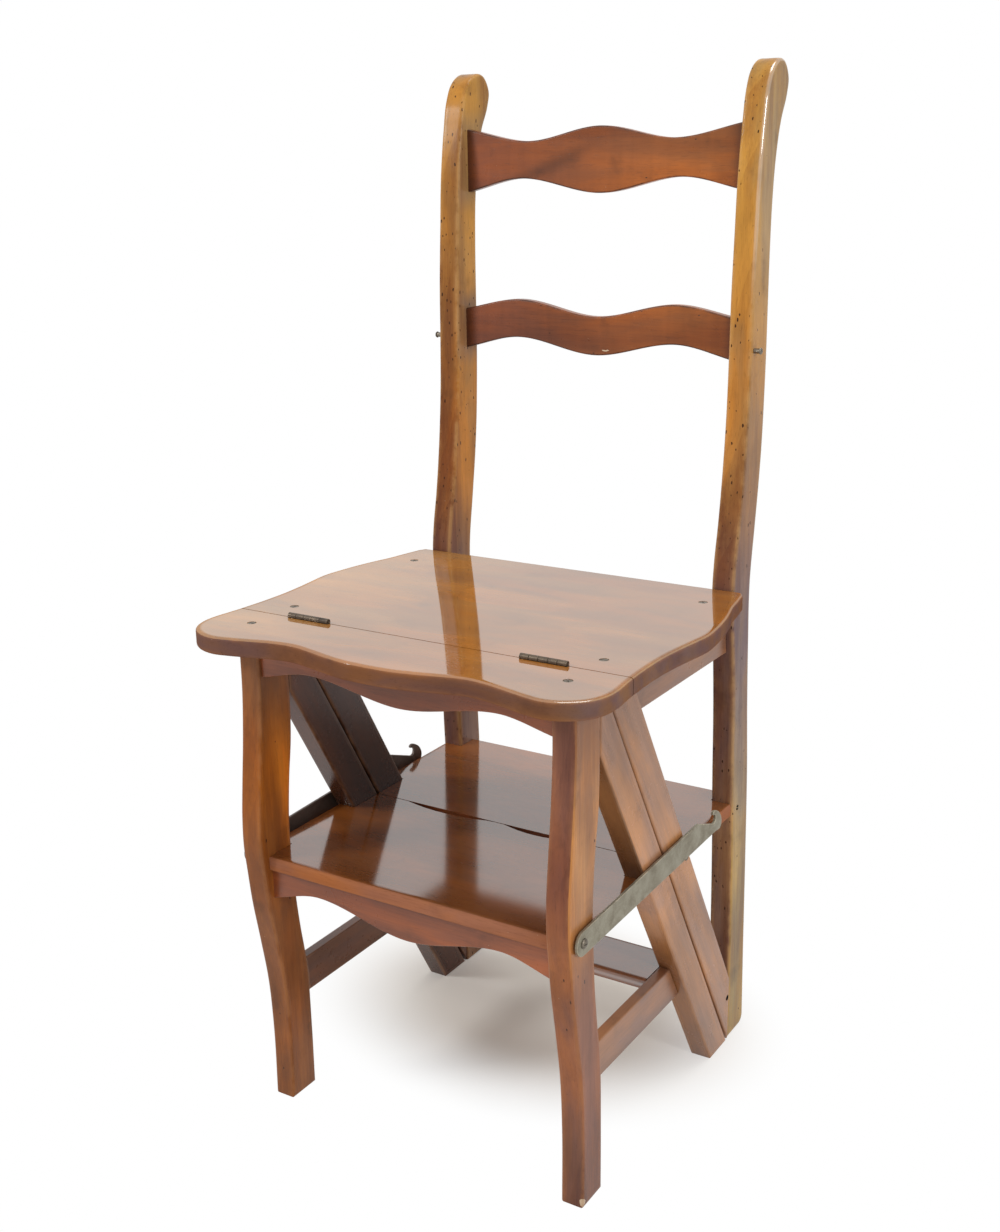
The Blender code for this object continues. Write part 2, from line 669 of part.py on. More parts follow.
back = SEAT_DEPTH - BACK_RAIL_SET
mesh = board_mesh("seat_back_rail",
                  box((-POST_IN, SEAT_UNDER - SIDE_RAIL_DEPTH), (POST_IN, SEAT_UNDER - FIT)),
                  back - BACK_RAIL_THICK, back, "Y")
add_piece("seat_back_rail", mesh, "rear", "red_brown")

# Middle tread: its two halves meet on the split's slope, notched round legs, stiles and posts
outline = [(-MID_HALF, split_y(MID_TOP)), (-MID_HALF, -MID_FRONT),
           (MID_HALF, -MID_FRONT), (MID_HALF, split_y(MID_TOP))]
tread_edge = {edge_between(outline[0], outline[-1]): 0}
mesh = board_mesh("mid_tread_front", outline, MID_UNDER, MID_TOP, "Z", MID_NOSE, 2,
                  tread_edge, -1)
mid_front = add_piece("mid_tread_front", mesh, "front", "seat")
outline = [(MID_HALF, split_y(MID_TOP)), (MID_HALF, MID_BACK),
           (-MID_HALF, MID_BACK), (-MID_HALF, split_y(MID_TOP))]
tread_edge = {edge_between(outline[0], outline[-1]): 0,
              edge_between(outline[1], outline[2]): SEAT_BACK_NOSE / MID_NOSE}
mesh = board_mesh("mid_tread_rear", outline, MID_UNDER, MID_TOP, "Z", MID_NOSE, 2,
                  tread_edge, 1)
mid_rear = add_piece("mid_tread_rear", mesh, "rear", "seat")
for side_name in SIDES:
    cut(mid_front, frame_cutters["leg", side_name], frame_cutters["front_stile", side_name])
    cut(mid_rear, frame_cutters["rear_stile", side_name], frame_cutters["post", side_name])

# Low tread between the front stiles, and the rails from the legs to those stiles
back = split_y(LOW_TOP) - LOW_SET
outline = box((-SIDE_IN + FIT, back - LOW_DEPTH), (SIDE_IN - FIT, back))
ends = {edge_between(outline[1], outline[2]): 0, edge_between(outline[3], outline[0]): 0}
mesh = board_mesh("low_tread", outline, LOW_TOP - LOW_THICK, LOW_TOP, "Z", LOW_NOSE, 2, ends)
add_piece("low_tread", mesh, "front", "seat")
for side_name, side in SIDES.items():
    name = "low_rail_" + side_name
    outer = SIDE_OUT - LOW_RAIL_INSET
    low, high = sided(outer - LOW_RAIL_THICK, outer, side)
    outline = box((0, LOW_RAIL_TOP - LOW_RAIL_DEPTH),
                  (split_y(LOW_RAIL_TOP) - FRONT_STILE_WIDTH / 3, LOW_RAIL_TOP))
    rail = add_piece(name, board_mesh(name, outline, low, high, "X"), "front", "red_brown")
    cut(rail, frame_cutters["leg", side_name], frame_cutters["front_stile", side_name])


# Butt hinges: two leaves, five knuckles in turn, one pin
def leaf_meshes(name, side, turn):
    """The plate of one leaf with its risers, and its knuckles, apart."""
    step = HINGE_LENGTH / KNUCKLES
    knuckles = []
    plate_top = HINGE_Z - KNUCKLE_RADIUS - FIT
    front, back = sided(SPLIT_GAP / 2, SPLIT_GAP / 2 + LEAF_THICK, turn)
    skyline = []
    for i in range(KNUCKLES):
        start = HINGE_INNER + i * step
        if (i % 2 == 0) == (turn < 0):
            low, high = sided(start + FIT / 2, start + step - FIT / 2, side)
            rings = [(low, HINGE_BORE), (low, KNUCKLE_RADIUS), (high, KNUCKLE_RADIUS),
                     (high, HINGE_BORE)]
            knuckles.append(turned_mesh(name + "_knuckle", rings, "X", (0, HINGE_Z),
                                        hollow=True))
            rise = HINGE_Z - KNUCKLE_RADIUS + LEAF_LAP
            skyline += [(start + FIT, plate_top), (start + FIT, rise),
                        (start + step - FIT, rise), (start + step - FIT, plate_top)]
    floor = plate_top - LEAF_DROP
    end = HINGE_INNER + HINGE_LENGTH
    outline = [(HINGE_INNER, floor), (HINGE_INNER, plate_top)]
    outline += skyline + [(end, plate_top), (end, floor)]
    plate = board_mesh(name, [(side * x, z) for x, z in outline], front, back, "Y")
    return plate, join_meshes(name + "_knuckles", knuckles)


for side_name, side in SIDES.items():
    hinge_low, hinge_high = sided(HINGE_INNER, HINGE_INNER + HINGE_LENGTH, side)
    barrel = add_cutter("barrel_cutter_" + side_name,
                        turned_mesh("barrel_cutter", [(hinge_low - FIT, KNUCKLE_RADIUS + FIT),
                                                      (hinge_high + FIT, KNUCKLE_RADIUS + FIT)],
                                    "X", (0, HINGE_Z)))
    for half, turn, body, board in (("front", -1, "front", seat_strip),
                                    ("rear", 1, "rear", seat_panel)):
        name = "hinge_leaf_" + half + "_" + side_name
        plate, knuckles = leaf_meshes(name, side, turn)
        leaf = add_piece(name, plate, body, "bronze")
        rolled = add_cutter("knuckles_" + half + "_" + side_name, knuckles)
        union = leaf.modifiers.new("knuckles", "BOOLEAN")
        union.operation = "UNION"
        union.solver = "EXACT"
        union.object = rolled
        plate_top = HINGE_Z - KNUCKLE_RADIUS
        recess = box((hinge_low - FIT, plate_top - FIT - LEAF_DROP - FIT),
                     (hinge_high + FIT, SEAT_TOP + OVERRUN))
        front, back = sided(SPLIT_GAP / 2 - OVERRUN / 2, SPLIT_GAP / 2 + LEAF_THICK + FIT, turn)
        mesh = board_mesh("recess_" + half + "_" + side_name, recess, front, back, "Y")
        cut(board, barrel, add_cutter("recess_" + half + "_" + side_name, mesh))
    name = "hinge_pin_" + side_name
    mesh = turned_mesh(name, [(hinge_low, HINGE_PIN_RADIUS), (hinge_high, HINGE_PIN_RADIUS)],
                       "X", (0, HINGE_Z))
    shade_round(mesh)
    add_piece(name, mesh, "front", "bronze")


# Screws: countersunk, slotted, their heads level with the wood
def screw_profile(top, inward, length, head, shank, cone):
    """Heights and radii from the face inwards."""
    return [(top, head), (top + inward * cone * shank / head, head * SCREW_RIM_SHARE),
            (top + inward * cone, shank), (top + inward * length, shank)]


def seat_screw(name, x, y, top):
    """A slotted screw driven down into the seat, and the cutter for its hole."""
    profile = screw_profile(top, -1, SCREW_LENGTH, SCREW_HEAD, SCREW_SHANK, SCREW_CONE)
    hole = [(top + OVERRUN, SCREW_HEAD + FIT)]
    hole += [(height, radius + FIT) for height, radius in profile[:-1]]
    hole.append((profile[-1][0] - FIT, SCREW_SHANK + FIT))
    screw = turned_mesh(name, profile[::-1], "Z", (x, y))
    cutter = add_cutter(name + "_hole", turned_mesh(name + "_hole", hole[::-1], "Z", (x, y)))
    slot = board_mesh(name + "_slot", box((x - SCREW_HEAD * 2, y - SCREW_SLOT / 2),
                                          (x + SCREW_HEAD * 2, y + SCREW_SLOT / 2)),
                      top - SCREW_SLOT, top + OVERRUN, "Z")
    return screw, cutter, slot


def add_seat_screw(name, side, y, body, boards):
    """A screw through a seat board into what lies under it."""
    screw, hole, slot = seat_screw(name, side * SCREW_X, y, SEAT_TOP)
    shade_round(screw)
    cut(add_piece(name, screw, body, "bronze"), add_cutter(name + "_slot", slot))
    for board in boards:
        cut(board, hole)


for side_name, side in SIDES.items():
    add_seat_screw("seat_screw_front_" + side_name, side, SEAT_FRONT * STRIP_SCREW_SHARE, "front",
                   [seat_strip, legs[side_name]])
    rail = bpy.data.objects["seat_side_rail_" + side_name]
    for place, share, under in (("middle", PANEL_SCREW_SHARES[0], rear_stiles[side_name]),
                                ("rear", PANEL_SCREW_SHARES[1], rail)):
        add_seat_screw("seat_screw_" + place + "_" + side_name, side, SEAT_DEPTH * share, "rear",
                       [seat_panel, under])


def on_side(profile, side):
    """A profile across the chair, on one side of it."""
    return [(side * x, radius) for x, radius in profile]


def add_side_pieces(name, profile, y, z, body, boards):
    """A round piece in each side of the chair, and its hole in the boards."""
    inner = min(x for x, radius in profile)
    shank = min(radius for x, radius in profile if x <= SIDE_OUT)
    bore = [(inner - FIT, shank + FIT), (SIDE_OUT + OVERRUN, shank + FIT)]
    for side_name, side in SIDES.items():
        piece = name + "_" + side_name
        mesh = turned_mesh(piece, on_side(profile, side), "X", (y, z))
        shade_round(mesh)
        add_piece(piece, mesh, body, "bronze")
        hole = turned_mesh(piece + "_bore", on_side(bore, side), "X", (y, z))
        cutter = add_cutter(piece + "_bore", hole)
        for board in boards:
            cut(board[side_name], cutter)


def headed(inner, face, proud, shank, head, head_thick):
    """A shank from inside the wood to a domed head outside it."""
    under = face + proud
    return [(inner, shank), (under, shank), (under, head), (under + head_thick / 2, head * DOME_SHARES[0]),
            (under + head_thick, head * DOME_SHARES[1])]


# Hook bars: brass strip, pivoted on the legs, with a hook that drops over the studs
fold = turned_point(STUD_BACK, STUD_HEIGHT, 0, HINGE_Z, FOLD_ANGLE)
bar_reach = math.dist(fold, (-PIVOT_FRONT, PIVOT_HEIGHT))
throat = (-PIVOT_FRONT + math.sqrt(bar_reach ** 2 - THROAT_RISE ** 2), PIVOT_HEIGHT + THROAT_RISE)
bar_end = [(-PIVOT_FRONT + BAR_WIDTH / 2 * math.cos(t), PIVOT_HEIGHT + BAR_WIDTH / 2 * math.sin(t))
           for t in [math.pi / 2 + math.pi * i / ROUND for i in range(ROUND + 1)]]
hook = [(throat[0] + BAR_WIDTH * u, throat[1] + BAR_WIDTH * w) for u, w in HOOK_BACK_SHARES]
for side_name, side in SIDES.items():
    name = "hook_bar_" + side_name
    low, high = sided(BAR_IN, BAR_OUT, side)
    bar = add_piece(name, board_mesh(name, bar_end + hook, low, high, "X", FIT), name[5:], "bar")
    bore_radius = PIVOT_RADIUS + FIT
    bore = turned_mesh("bar_bore_" + side_name, [(low - OVERRUN, bore_radius),
                                                 (high + OVERRUN, bore_radius)],
                       "X", (-PIVOT_FRONT, PIVOT_HEIGHT))
    cut(bar, add_cutter("bar_bore_" + side_name, bore))

washer = [(SIDE_OUT + FIT, PIVOT_RADIUS + FIT), (SIDE_OUT + FIT, WASHER_RADIUS),
          (SIDE_OUT + FIT + WASHER_THICK, WASHER_RADIUS),
          (SIDE_OUT + FIT + WASHER_THICK, PIVOT_RADIUS + FIT)]
for side_name, side in SIDES.items():
    name = "bar_washer_" + side_name
    mesh = turned_mesh(name, on_side(washer, side), "X", (-PIVOT_FRONT, PIVOT_HEIGHT), hollow=True)
    shade_round(mesh)
    add_piece(name, mesh, "front", "bronze")

add_side_pieces("bar_pivot_screw",
                headed(SIDE_OUT - PIVOT_DEPTH, BAR_OUT, FIT, PIVOT_RADIUS, PIVOT_HEAD,
                       PIVOT_HEAD_THICK),
                -PIVOT_FRONT, PIVOT_HEIGHT, "front", [legs])
add_side_pieces("hook_stud",
                headed(POST_OUT - STUD_DEPTH, BAR_OUT, STUD_PLAY, STUD_RADIUS, STUD_HEAD,
                       STUD_HEAD_THICK),
                STUD_BACK, STUD_HEIGHT, "rear", [posts])

# Rest pins on the rear stiles, just under the bars
bar_low = PIVOT_HEIGHT - BAR_WIDTH / 2
hook_low = throat[1] + BAR_WIDTH * HOOK_BACK_SHARES[0][1]
rest_pin_y = split_y(PIVOT_HEIGHT) + REAR_STILE_WIDTH - REST_PIN_EDGE
bar_run = (rest_pin_y + PIVOT_FRONT) / (throat[0] + PIVOT_FRONT)
rest_pin_z = bar_low + (hook_low - bar_low) * bar_run - REST_PIN_RADIUS - FIT
pin_shank = REST_PIN_RADIUS / 2
add_side_pieces("bar_rest_pin",
                [(SIDE_OUT - REST_PIN_DEPTH, pin_shank), (SIDE_OUT + FIT, pin_shank),
                 (SIDE_OUT + FIT, REST_PIN_RADIUS), (SIDE_OUT + REST_PIN_PROUD, REST_PIN_RADIUS)],
                rest_pin_y, rest_pin_z, "rear", [rear_stiles])


# Screws through the posts into the middle tread, and nails at the foot of the rear stiles
def flush(face, length, head, shank):
    """A countersunk fastener from its inner end out to the face."""
    return [(face - length, shank), (face - head, shank), (face, head)]


def add_flush(name, face, length, head, shank, y, z, boards):
    """A flush fastener on both sides, each in its own countersunk hole."""
    hole = [(face - length - FIT, shank + FIT), (face - head, shank + FIT),
            (face, head + FIT), (face + OVERRUN, head + FIT)]
    for side_name, side in SIDES.items():
        piece = name + "_" + side_name
        profile = on_side(flush(face, length, head, shank), side)
        mesh = turned_mesh(piece, profile, "X", (y, z))
        shade_round(mesh)
        add_piece(piece, mesh, "rear", "bronze")
        mesh = turned_mesh(piece + "_hole", on_side(hole, side), "X", (y, z))
        cutter = add_cutter(piece + "_hole", mesh)
        for board in boards:
            cut(board[side_name], cutter)


add_flush("post_screw", POST_OUT, END_SCREW_LENGTH, END_SCREW_HEAD, END_SCREW_SHANK,
          MID_BACK - END_SCREW_BACK, MID_TOP - END_SCREW_SET,
          [posts, {s: mid_rear for s in SIDES}])
add_flush("foot_nail", SIDE_OUT, NAIL_DEPTH, NAIL_HEAD, NAIL_HEAD / 2,
          FOOT_FACE - FOOT_NAIL_SET, FOOT_NAIL_HEIGHT, [rear_stiles])
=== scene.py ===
# Library step chair in polished cherry. Its rear half turns over the seat hinges and makes
# steps with the front half, and two brass hook bars then hold the halves together.
# X runs across the chair, Y from front to back, Z up. Lengths are in metres.

import json
import math

import bmesh
import bpy
from mathutils import Matrix, Vector


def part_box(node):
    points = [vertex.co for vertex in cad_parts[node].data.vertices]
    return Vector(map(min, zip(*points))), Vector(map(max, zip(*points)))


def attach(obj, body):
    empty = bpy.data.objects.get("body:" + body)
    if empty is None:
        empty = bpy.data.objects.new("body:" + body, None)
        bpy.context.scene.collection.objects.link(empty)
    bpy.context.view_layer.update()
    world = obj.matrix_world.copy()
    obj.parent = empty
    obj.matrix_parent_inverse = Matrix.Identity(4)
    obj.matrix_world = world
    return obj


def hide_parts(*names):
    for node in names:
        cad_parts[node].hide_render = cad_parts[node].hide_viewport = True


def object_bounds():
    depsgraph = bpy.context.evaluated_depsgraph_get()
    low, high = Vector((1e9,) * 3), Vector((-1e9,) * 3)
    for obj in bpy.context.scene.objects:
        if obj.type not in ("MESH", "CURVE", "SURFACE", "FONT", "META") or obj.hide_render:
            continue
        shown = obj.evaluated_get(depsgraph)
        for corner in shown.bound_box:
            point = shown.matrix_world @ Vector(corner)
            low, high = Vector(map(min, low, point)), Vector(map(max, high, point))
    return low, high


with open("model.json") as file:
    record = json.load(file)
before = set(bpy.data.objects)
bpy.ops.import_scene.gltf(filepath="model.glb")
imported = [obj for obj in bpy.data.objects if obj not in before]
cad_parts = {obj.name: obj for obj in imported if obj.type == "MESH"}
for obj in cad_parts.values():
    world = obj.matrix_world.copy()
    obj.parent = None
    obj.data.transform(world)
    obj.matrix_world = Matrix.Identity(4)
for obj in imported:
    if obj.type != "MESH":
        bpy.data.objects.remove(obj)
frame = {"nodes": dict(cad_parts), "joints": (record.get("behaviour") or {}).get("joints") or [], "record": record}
cad_low, cad_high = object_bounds()

# Camera: in front of the chair's right corner, a little above the seat, tilted down.
# Its lens is given for a 36 mm sensor along the picture's long side.
CAMERA_PLACE = Vector((0.65651, -1.05891, 0.80674))
CAMERA_AZIMUTH = math.radians(32.08)
CAMERA_DOWN = math.radians(16.57)
CAMERA_ROLL = -0.0161
CAMERA_LENS = 44.11
CAMERA_NEAR = 0.05


def in_scene(name, data):
    """A new object in the scene."""
    made = bpy.data.objects.new(name, data)
    bpy.context.scene.collection.objects.link(made)
    return made


ahead = Vector((-math.sin(CAMERA_AZIMUTH) * math.cos(CAMERA_DOWN),
                math.cos(CAMERA_AZIMUTH) * math.cos(CAMERA_DOWN), -math.sin(CAMERA_DOWN)))
level = Vector((math.cos(CAMERA_AZIMUTH), math.sin(CAMERA_AZIMUTH), 0))
upright = level.cross(ahead)
across = level * math.cos(CAMERA_ROLL) + upright * math.sin(CAMERA_ROLL)
above = upright * math.cos(CAMERA_ROLL) - level * math.sin(CAMERA_ROLL)
camera = in_scene("camera", bpy.data.cameras.new("camera"))
camera_turn = Matrix((across, above, -ahead)).transposed().to_4x4()
camera.matrix_world = Matrix.Translation(CAMERA_PLACE) @ camera_turn
camera.data.lens = CAMERA_LENS
camera.data.clip_start = CAMERA_NEAR
bpy.context.scene.camera = camera
bpy.context.scene.view_settings.view_transform = "Standard"


# Floor and light: a pale floor that keeps the chair's soft shadow and fades to plain white,
# and a white surround. A broad lamp hangs overhead, one stands at the front left, and a small
# one at the front right draws the bright lines along the arrises.
FLOOR_HALF = 9.0
FLOOR_CORNERS = ((-1, -1), (1, -1), (1, 1), (-1, 1))
FLOOR_COLOUR = (0.88, 0.865, 0.84, 1)
FLOOR_LIFTED = (0.77, 0.745, 0.70, 1)
FLOOR_LIFT = 0.09
FLOOR_FADE = (0.45, 1.25)
FLOOR_CENTRE = (-0.03, 0.10, 0.0)
FLOOR_REACH = (0.21, 0.16, 1.0)
WHITE = (1, 1, 1, 1)
SURROUND_LIGHT = (0.43, 0.39, 0.34, 1)
LAMPS = (("overhead_lamp", (0.5, 0.35, 4.4), 2.3, 84), ("left_lamp", (-1.9, -1.8, 1.9), 0.6, 31),
         ("right_lamp", (2.5, -1.1, 1.7), 0.6, 20))


def node(tree, kind, inputs=None, **settings):
    """A node with its settings, each input either linked or set."""
    made = tree.nodes.new(kind)
    for key, value in settings.items():
        setattr(made, key, value)
    for key, value in (inputs or {}).items():
        if isinstance(value, bpy.types.NodeSocket):
            tree.links.new(value, made.inputs[key])
        else:
            made.inputs[key].default_value = value
    return made


def maths(tree, operation, first, second=0.0, third=0.0):
    """The value of one sum."""
    return node(tree, "ShaderNodeMath", {0: first, 1: second, 2: third}, operation=operation).outputs["Value"]


def vector_maths(tree, operation, first, second=(0, 0, 0)):
    """The result of one sum of vectors."""
    made = node(tree, "ShaderNodeVectorMath", {0: first, 1: second}, operation=operation)
    return made.outputs["Value" if operation == "LENGTH" else "Vector"]


def ranged(tree, value, low, high, to_low=0.0, to_high=1.0):
    """A value spread smoothly over a new range."""
    spread = {"Value": value, "From Min": low, "From Max": high, "To Min": to_low, "To Max": to_high}
    return node(tree, "ShaderNodeMapRange", spread, interpolation_type="SMOOTHSTEP").outputs["Result"]


def mixed(tree, factor, first, second, blend="MIX"):
    """Two colours mixed by a factor."""
    return node(tree, "ShaderNodeMix", {0: factor, 6: first, 7: second}, data_type="RGBA",
                blend_type=blend).outputs[2]


def seen_directly(tree):
    """1 for the rays that show the background, 0 for those that only light the chair."""
    rays = node(tree, "ShaderNodeLightPath").outputs
    seen = maths(tree, "MAXIMUM", rays["Is Camera Ray"], rays["Is Glossy Ray"])
    return maths(tree, "MAXIMUM", seen, rays["Is Transmission Ray"])


def white_glow(tree, strength):
    """Plain white light of a strength."""
    return node(tree, "ShaderNodeEmission", {"Color": WHITE, "Strength": strength}).outputs["Emission"]


floor_mesh = bpy.data.meshes.new("floor")
floor_mesh.from_pydata([(x * FLOOR_HALF, y * FLOOR_HALF, 0) for x, y in FLOOR_CORNERS], [], [(0, 1, 2, 3)])
floor = in_scene("floor", floor_mesh)

floor_paint = bpy.data.materials.new("pale_floor")
floor_paint.use_nodes = True
tree = floor_paint.node_tree
tree.nodes.clear()
place = node(tree, "ShaderNodeTexCoord").outputs["Object"]
away = vector_maths(tree, "DIVIDE", vector_maths(tree, "SUBTRACT", place, FLOOR_CENTRE), FLOOR_REACH)
fade = ranged(tree, vector_maths(tree, "LENGTH", away), *FLOOR_FADE)
matt = node(tree, "ShaderNodeBsdfDiffuse", {"Color": FLOOR_COLOUR}).outputs["BSDF"]
dim = node(tree, "ShaderNodeBsdfDiffuse", {"Color": FLOOR_LIFTED}).outputs["BSDF"]
lifted = node(tree, "ShaderNodeAddShader", {0: dim, 1: white_glow(tree, FLOOR_LIFT)}).outputs["Shader"]
shown = node(tree, "ShaderNodeMixShader", {"Fac": fade, 1: lifted, 2: white_glow(tree, 1.0)})
blend = node(tree, "ShaderNodeMixShader", {"Fac": seen_directly(tree), 1: matt, 2: shown.outputs["Shader"]})
node(tree, "ShaderNodeOutputMaterial", {"Surface": blend.outputs["Shader"]})
floor_mesh.materials.append(floor_paint)

world = bpy.data.worlds.new("surround")
bpy.context.scene.world = world
world.use_nodes = True
tree = world.node_tree
tree.nodes.clear()
around = mixed(tree, seen_directly(tree), SURROUND_LIGHT, WHITE)
surround = node(tree, "ShaderNodeBackground", {"Color": around, "Strength": 1.0})
node(tree, "ShaderNodeOutputWorld", {"Surface": surround.outputs["Background"]})

for lamp_name, lamp_place, lamp_side, lamp_power in LAMPS:
    lamp = bpy.data.lights.new(lamp_name, "AREA")
    lamp.size = lamp_side
    lamp.energy = lamp_power
    aim = Vector((0, 0, cad_high.z / 2)) - Vector(lamp_place)
    lamp_turn = aim.to_track_quat("-Z", "Y").to_matrix().to_4x4()
    in_scene(lamp_name, lamp).matrix_world = Matrix.Translation(lamp_place) @ lamp_turn


# Front legs: one plank each, sawn to an S with the knee below the seat, its arrises eased
# by wear. The shapes are shares of the leg's height and of the knee's reach from the split.
FIT = 0.0003
ARRIS = 0.0017
LEG_ARRIS = 0.0022
WORN_BAND = 0.0028
WEAR_START = 0.4
BAND_SHARE = 0.9
ARC_STEPS = 4
CURVE_STEPS = 6
SHARP_ANGLE = math.radians(34)
EVEN_WEIGHT = 100
STRAIGHT = 0.05
LEG_FACE_SHARES = ((0, 0.521), (0.149, 0.511), (0.267, 0.574), (0.368, 0.723), (0.460, 0.872),
                   (0.529, 0.947), (0.586, 1.0), (0.644, 0.989), (0.713, 0.926), (0.805, 0.830),
                   (0.897, 0.766), (1, 0.760))
LEG_BACK_SHARES = ((0, 0.149), (0.138, 0.149), (0.287, 0.106), (0.379, -0.021), (0.437, -0.085),
                   (0.506, -0.128), (0.598, -0.164), (0.703, -0.085), (0.782, 0.021),
                   (0.828, 0.050), (0.920, 0.052), (1, 0.064))
SIDES = {"left": -1, "right": 1}

fold = next(joint for joint in frame["joints"] if joint["name"] == "fold")
SPLIT = fold["pos_m"][1]
HINGE_Z = fold["pos_m"][2]


def smooth_line(points, steps=CURVE_STEPS):
    """Points on a smooth curve through the given ones, with some steps in each span."""
    lengths = [math.dist(a, b) for a, b in zip(points, points[1:])]
    rises = [[(b[k] - a[k]) / length for k in (0, 1)]
             for a, b, length in zip(points, points[1:], lengths)]
    slopes = [rises[0]]
    for i in range(1, len(lengths)):
        whole = lengths[i - 1] + lengths[i]
        slopes.append([(rises[i - 1][k] * lengths[i] + rises[i][k] * lengths[i - 1]) / whole
                       for k in (0, 1)])
    slopes.append(rises[-1])
    line = []
    for i, length in enumerate(lengths):
        for step in range(steps):
            t = step / steps
            shares = (2 * t ** 3 - 3 * t ** 2 + 1, (t ** 3 - 2 * t ** 2 + t) * length,
                      3 * t ** 2 - 2 * t ** 3, (t ** 3 - t ** 2) * length)
            line.append(tuple(shares[0] * points[i][k] + shares[1] * slopes[i][k]
                              + shares[2] * points[i + 1][k] + shares[3] * slopes[i + 1][k]
                              for k in (0, 1)))
    line.append(tuple(points[-1]))
    return line


def counterclockwise(outline):
    """The same outline, running counterclockwise."""
    pairs = zip(outline, outline[1:] + outline[:1])
    area = sum(a[0] * b[1] - b[0] * a[1] for a, b in pairs)
    return list(outline) if area > 0 else list(outline[::-1])


def inset(outline, widths):
    """A counterclockwise outline drawn in by a width for each of its edges."""
    count = len(outline)
    normals = []
    for i in range(count):
        a, b = outline[i], outline[(i + 1) % count]
        length = math.dist(a, b)
        normals.append((-(b[1] - a[1]) / length, (b[0] - a[0]) / length))
    drawn = []
    for i in range(count):
        na, nb = normals[i - 1], normals[i]
        wa, wb = widths[i - 1], widths[i]
        turn = na[0] * nb[1] - na[1] * nb[0]
        if wa == wb or abs(turn) < STRAIGHT:
            scale = (wa + wb) / 2 / (1 + na[0] * nb[0] + na[1] * nb[1])
            shift = ((na[0] + nb[0]) * scale, (na[1] + nb[1]) * scale)
        else:
            shift = ((wa * nb[1] - wb * na[1]) / turn, (wb * na[0] - wa * nb[0]) / turn)
        drawn.append((outline[i][0] + shift[0], outline[i][1] + shift[1]))
    return drawn


def placed(point, height, axis):
    """A point of an outline, and its height along the axis, as X, Y, Z."""
    a, b = point
    return {"X": (height, a, b), "Y": (a, height, b), "Z": (a, b, height)}[axis]


def closed_mesh(name, rings, axis):
    """A closed mesh over rings of points, with each ring's wear kept on its points."""
    bm = bmesh.new()
    worn = bm.verts.layers.float.new("wear")
    loops = []
    for ring, height, wear in rings:
        loop = [bm.verts.new(placed(point, height, axis)) for point in ring]
        for vert in loop:
            vert[worn] = wear
        loops.append(loop)
    bm.faces.new(loops[0])
    bm.faces.new(loops[-1])
    for lower, upper in zip(loops, loops[1:]):
        for i in range(len(lower)):
            j = (i + 1) % len(lower)
            bm.faces.new((lower[i], lower[j], upper[j], upper[i]))
    bmesh.ops.recalc_face_normals(bm, faces=bm.faces)
    mesh = bpy.data.meshes.new(name)
    bm.to_mesh(mesh)
    bm.free()
    return mesh


def board_mesh(name, outline, low, high, axis, edge=ARRIS, shares=None, fade=WORN_BAND):
    """A board with rounded edges; the outline may be a function of the height.

    The shares say how much of the rounding each edge of the outline gets, 1 where not given.
    """
    at_height = outline if callable(outline) else lambda height: outline
    first = at_height(low)
    shares = list(shares or [1] * len(first))
    if counterclockwise(first) != list(first):
        shares = shares[-2::-1] + shares[-1:]
    band = min(fade, (high - low) / 2 - edge)
    steps = [(0, edge + fade, 0), (0, edge, WEAR_START)]
    for i in range(1, ARC_STEPS):
        turn = math.pi / 2 * i / ARC_STEPS
        steps.append((edge * (1 - math.cos(turn)), edge * (1 - math.sin(turn)), 1))
    steps.append((edge, 0, WEAR_START))
    if band > ARRIS / 2:
        steps.append((edge + band * BAND_SHARE, 0, 0))
    rings = []
    for start, sense, order in ((low, 1, steps), (high, -1, steps[::-1])):
        for rise, drawn, wear in order:
            height = start + sense * rise
            ring = inset(counterclockwise(at_height(height)), [drawn * share for share in shares])
            rings.append((ring, height, wear))
    return closed_mesh(name, rings, axis)


def add_piece(name, mesh, body, material, slot, *nodes):
    """A finished piece that rides on a body and stands for some nodes."""
    mesh.shade_smooth()
    mesh.set_sharp_from_angle(angle=SHARP_ANGLE)
    mesh.materials.clear()
    mesh.materials.append(material)
    piece = in_scene(name, mesh)
    even = piece.modifiers.new("even_shading", "WEIGHTED_NORMAL")
    even.weight = EVEN_WEIGHT
    even.keep_sharp = True
    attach(piece, body)
    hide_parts(*nodes)


def node_group(name, inputs, outputs):
    """An empty shader group with its sockets, and its input and output nodes."""
    group = bpy.data.node_groups.new(name, "ShaderNodeTree")
    for socket_name, kind, value in inputs:
        socket = group.interface.new_socket(socket_name, in_out="INPUT", socket_type="NodeSocket" + kind)
        socket.default_value = value
    for socket_name, kind in outputs:
        group.interface.new_socket(socket_name, in_out="OUTPUT", socket_type="NodeSocket" + kind)
    return group, group.nodes.new("NodeGroupInput").outputs, group.nodes.new("NodeGroupOutput")


def stretched(tree, vector, scales):
    """A vector with its three parts scaled."""
    return vector_maths(tree, "MULTIPLY", vector, scales)


def vector_of(tree, **parts):
    """A vector from its parts, each 0 where not given."""
    return node(tree, "ShaderNodeCombineXYZ", parts).outputs["Vector"]


def split_up(tree, vector):
    """The three parts of a vector, named X, Y and Z."""
    return node(tree, "ShaderNodeSeparateXYZ", {"Vector": vector}).outputs


def noise(tree, vector, scales, detail=2.0, rough=0.5, distortion=0.0):
    """Noise from 0 to 1, with its own scale in each direction."""
    values = {"Vector": stretched(tree, vector, scales), "Scale": 1.0, "Detail": detail, "Roughness": rough,
              "Distortion": distortion}
    return node(tree, "ShaderNodeTexNoise", values).outputs["Fac"]


def swung(tree, value, amount, base):
    """A base value that noise swings up and down by an amount."""
    return maths(tree, "MULTIPLY_ADD", maths(tree, "SUBTRACT", value, 0.5), amount, base)


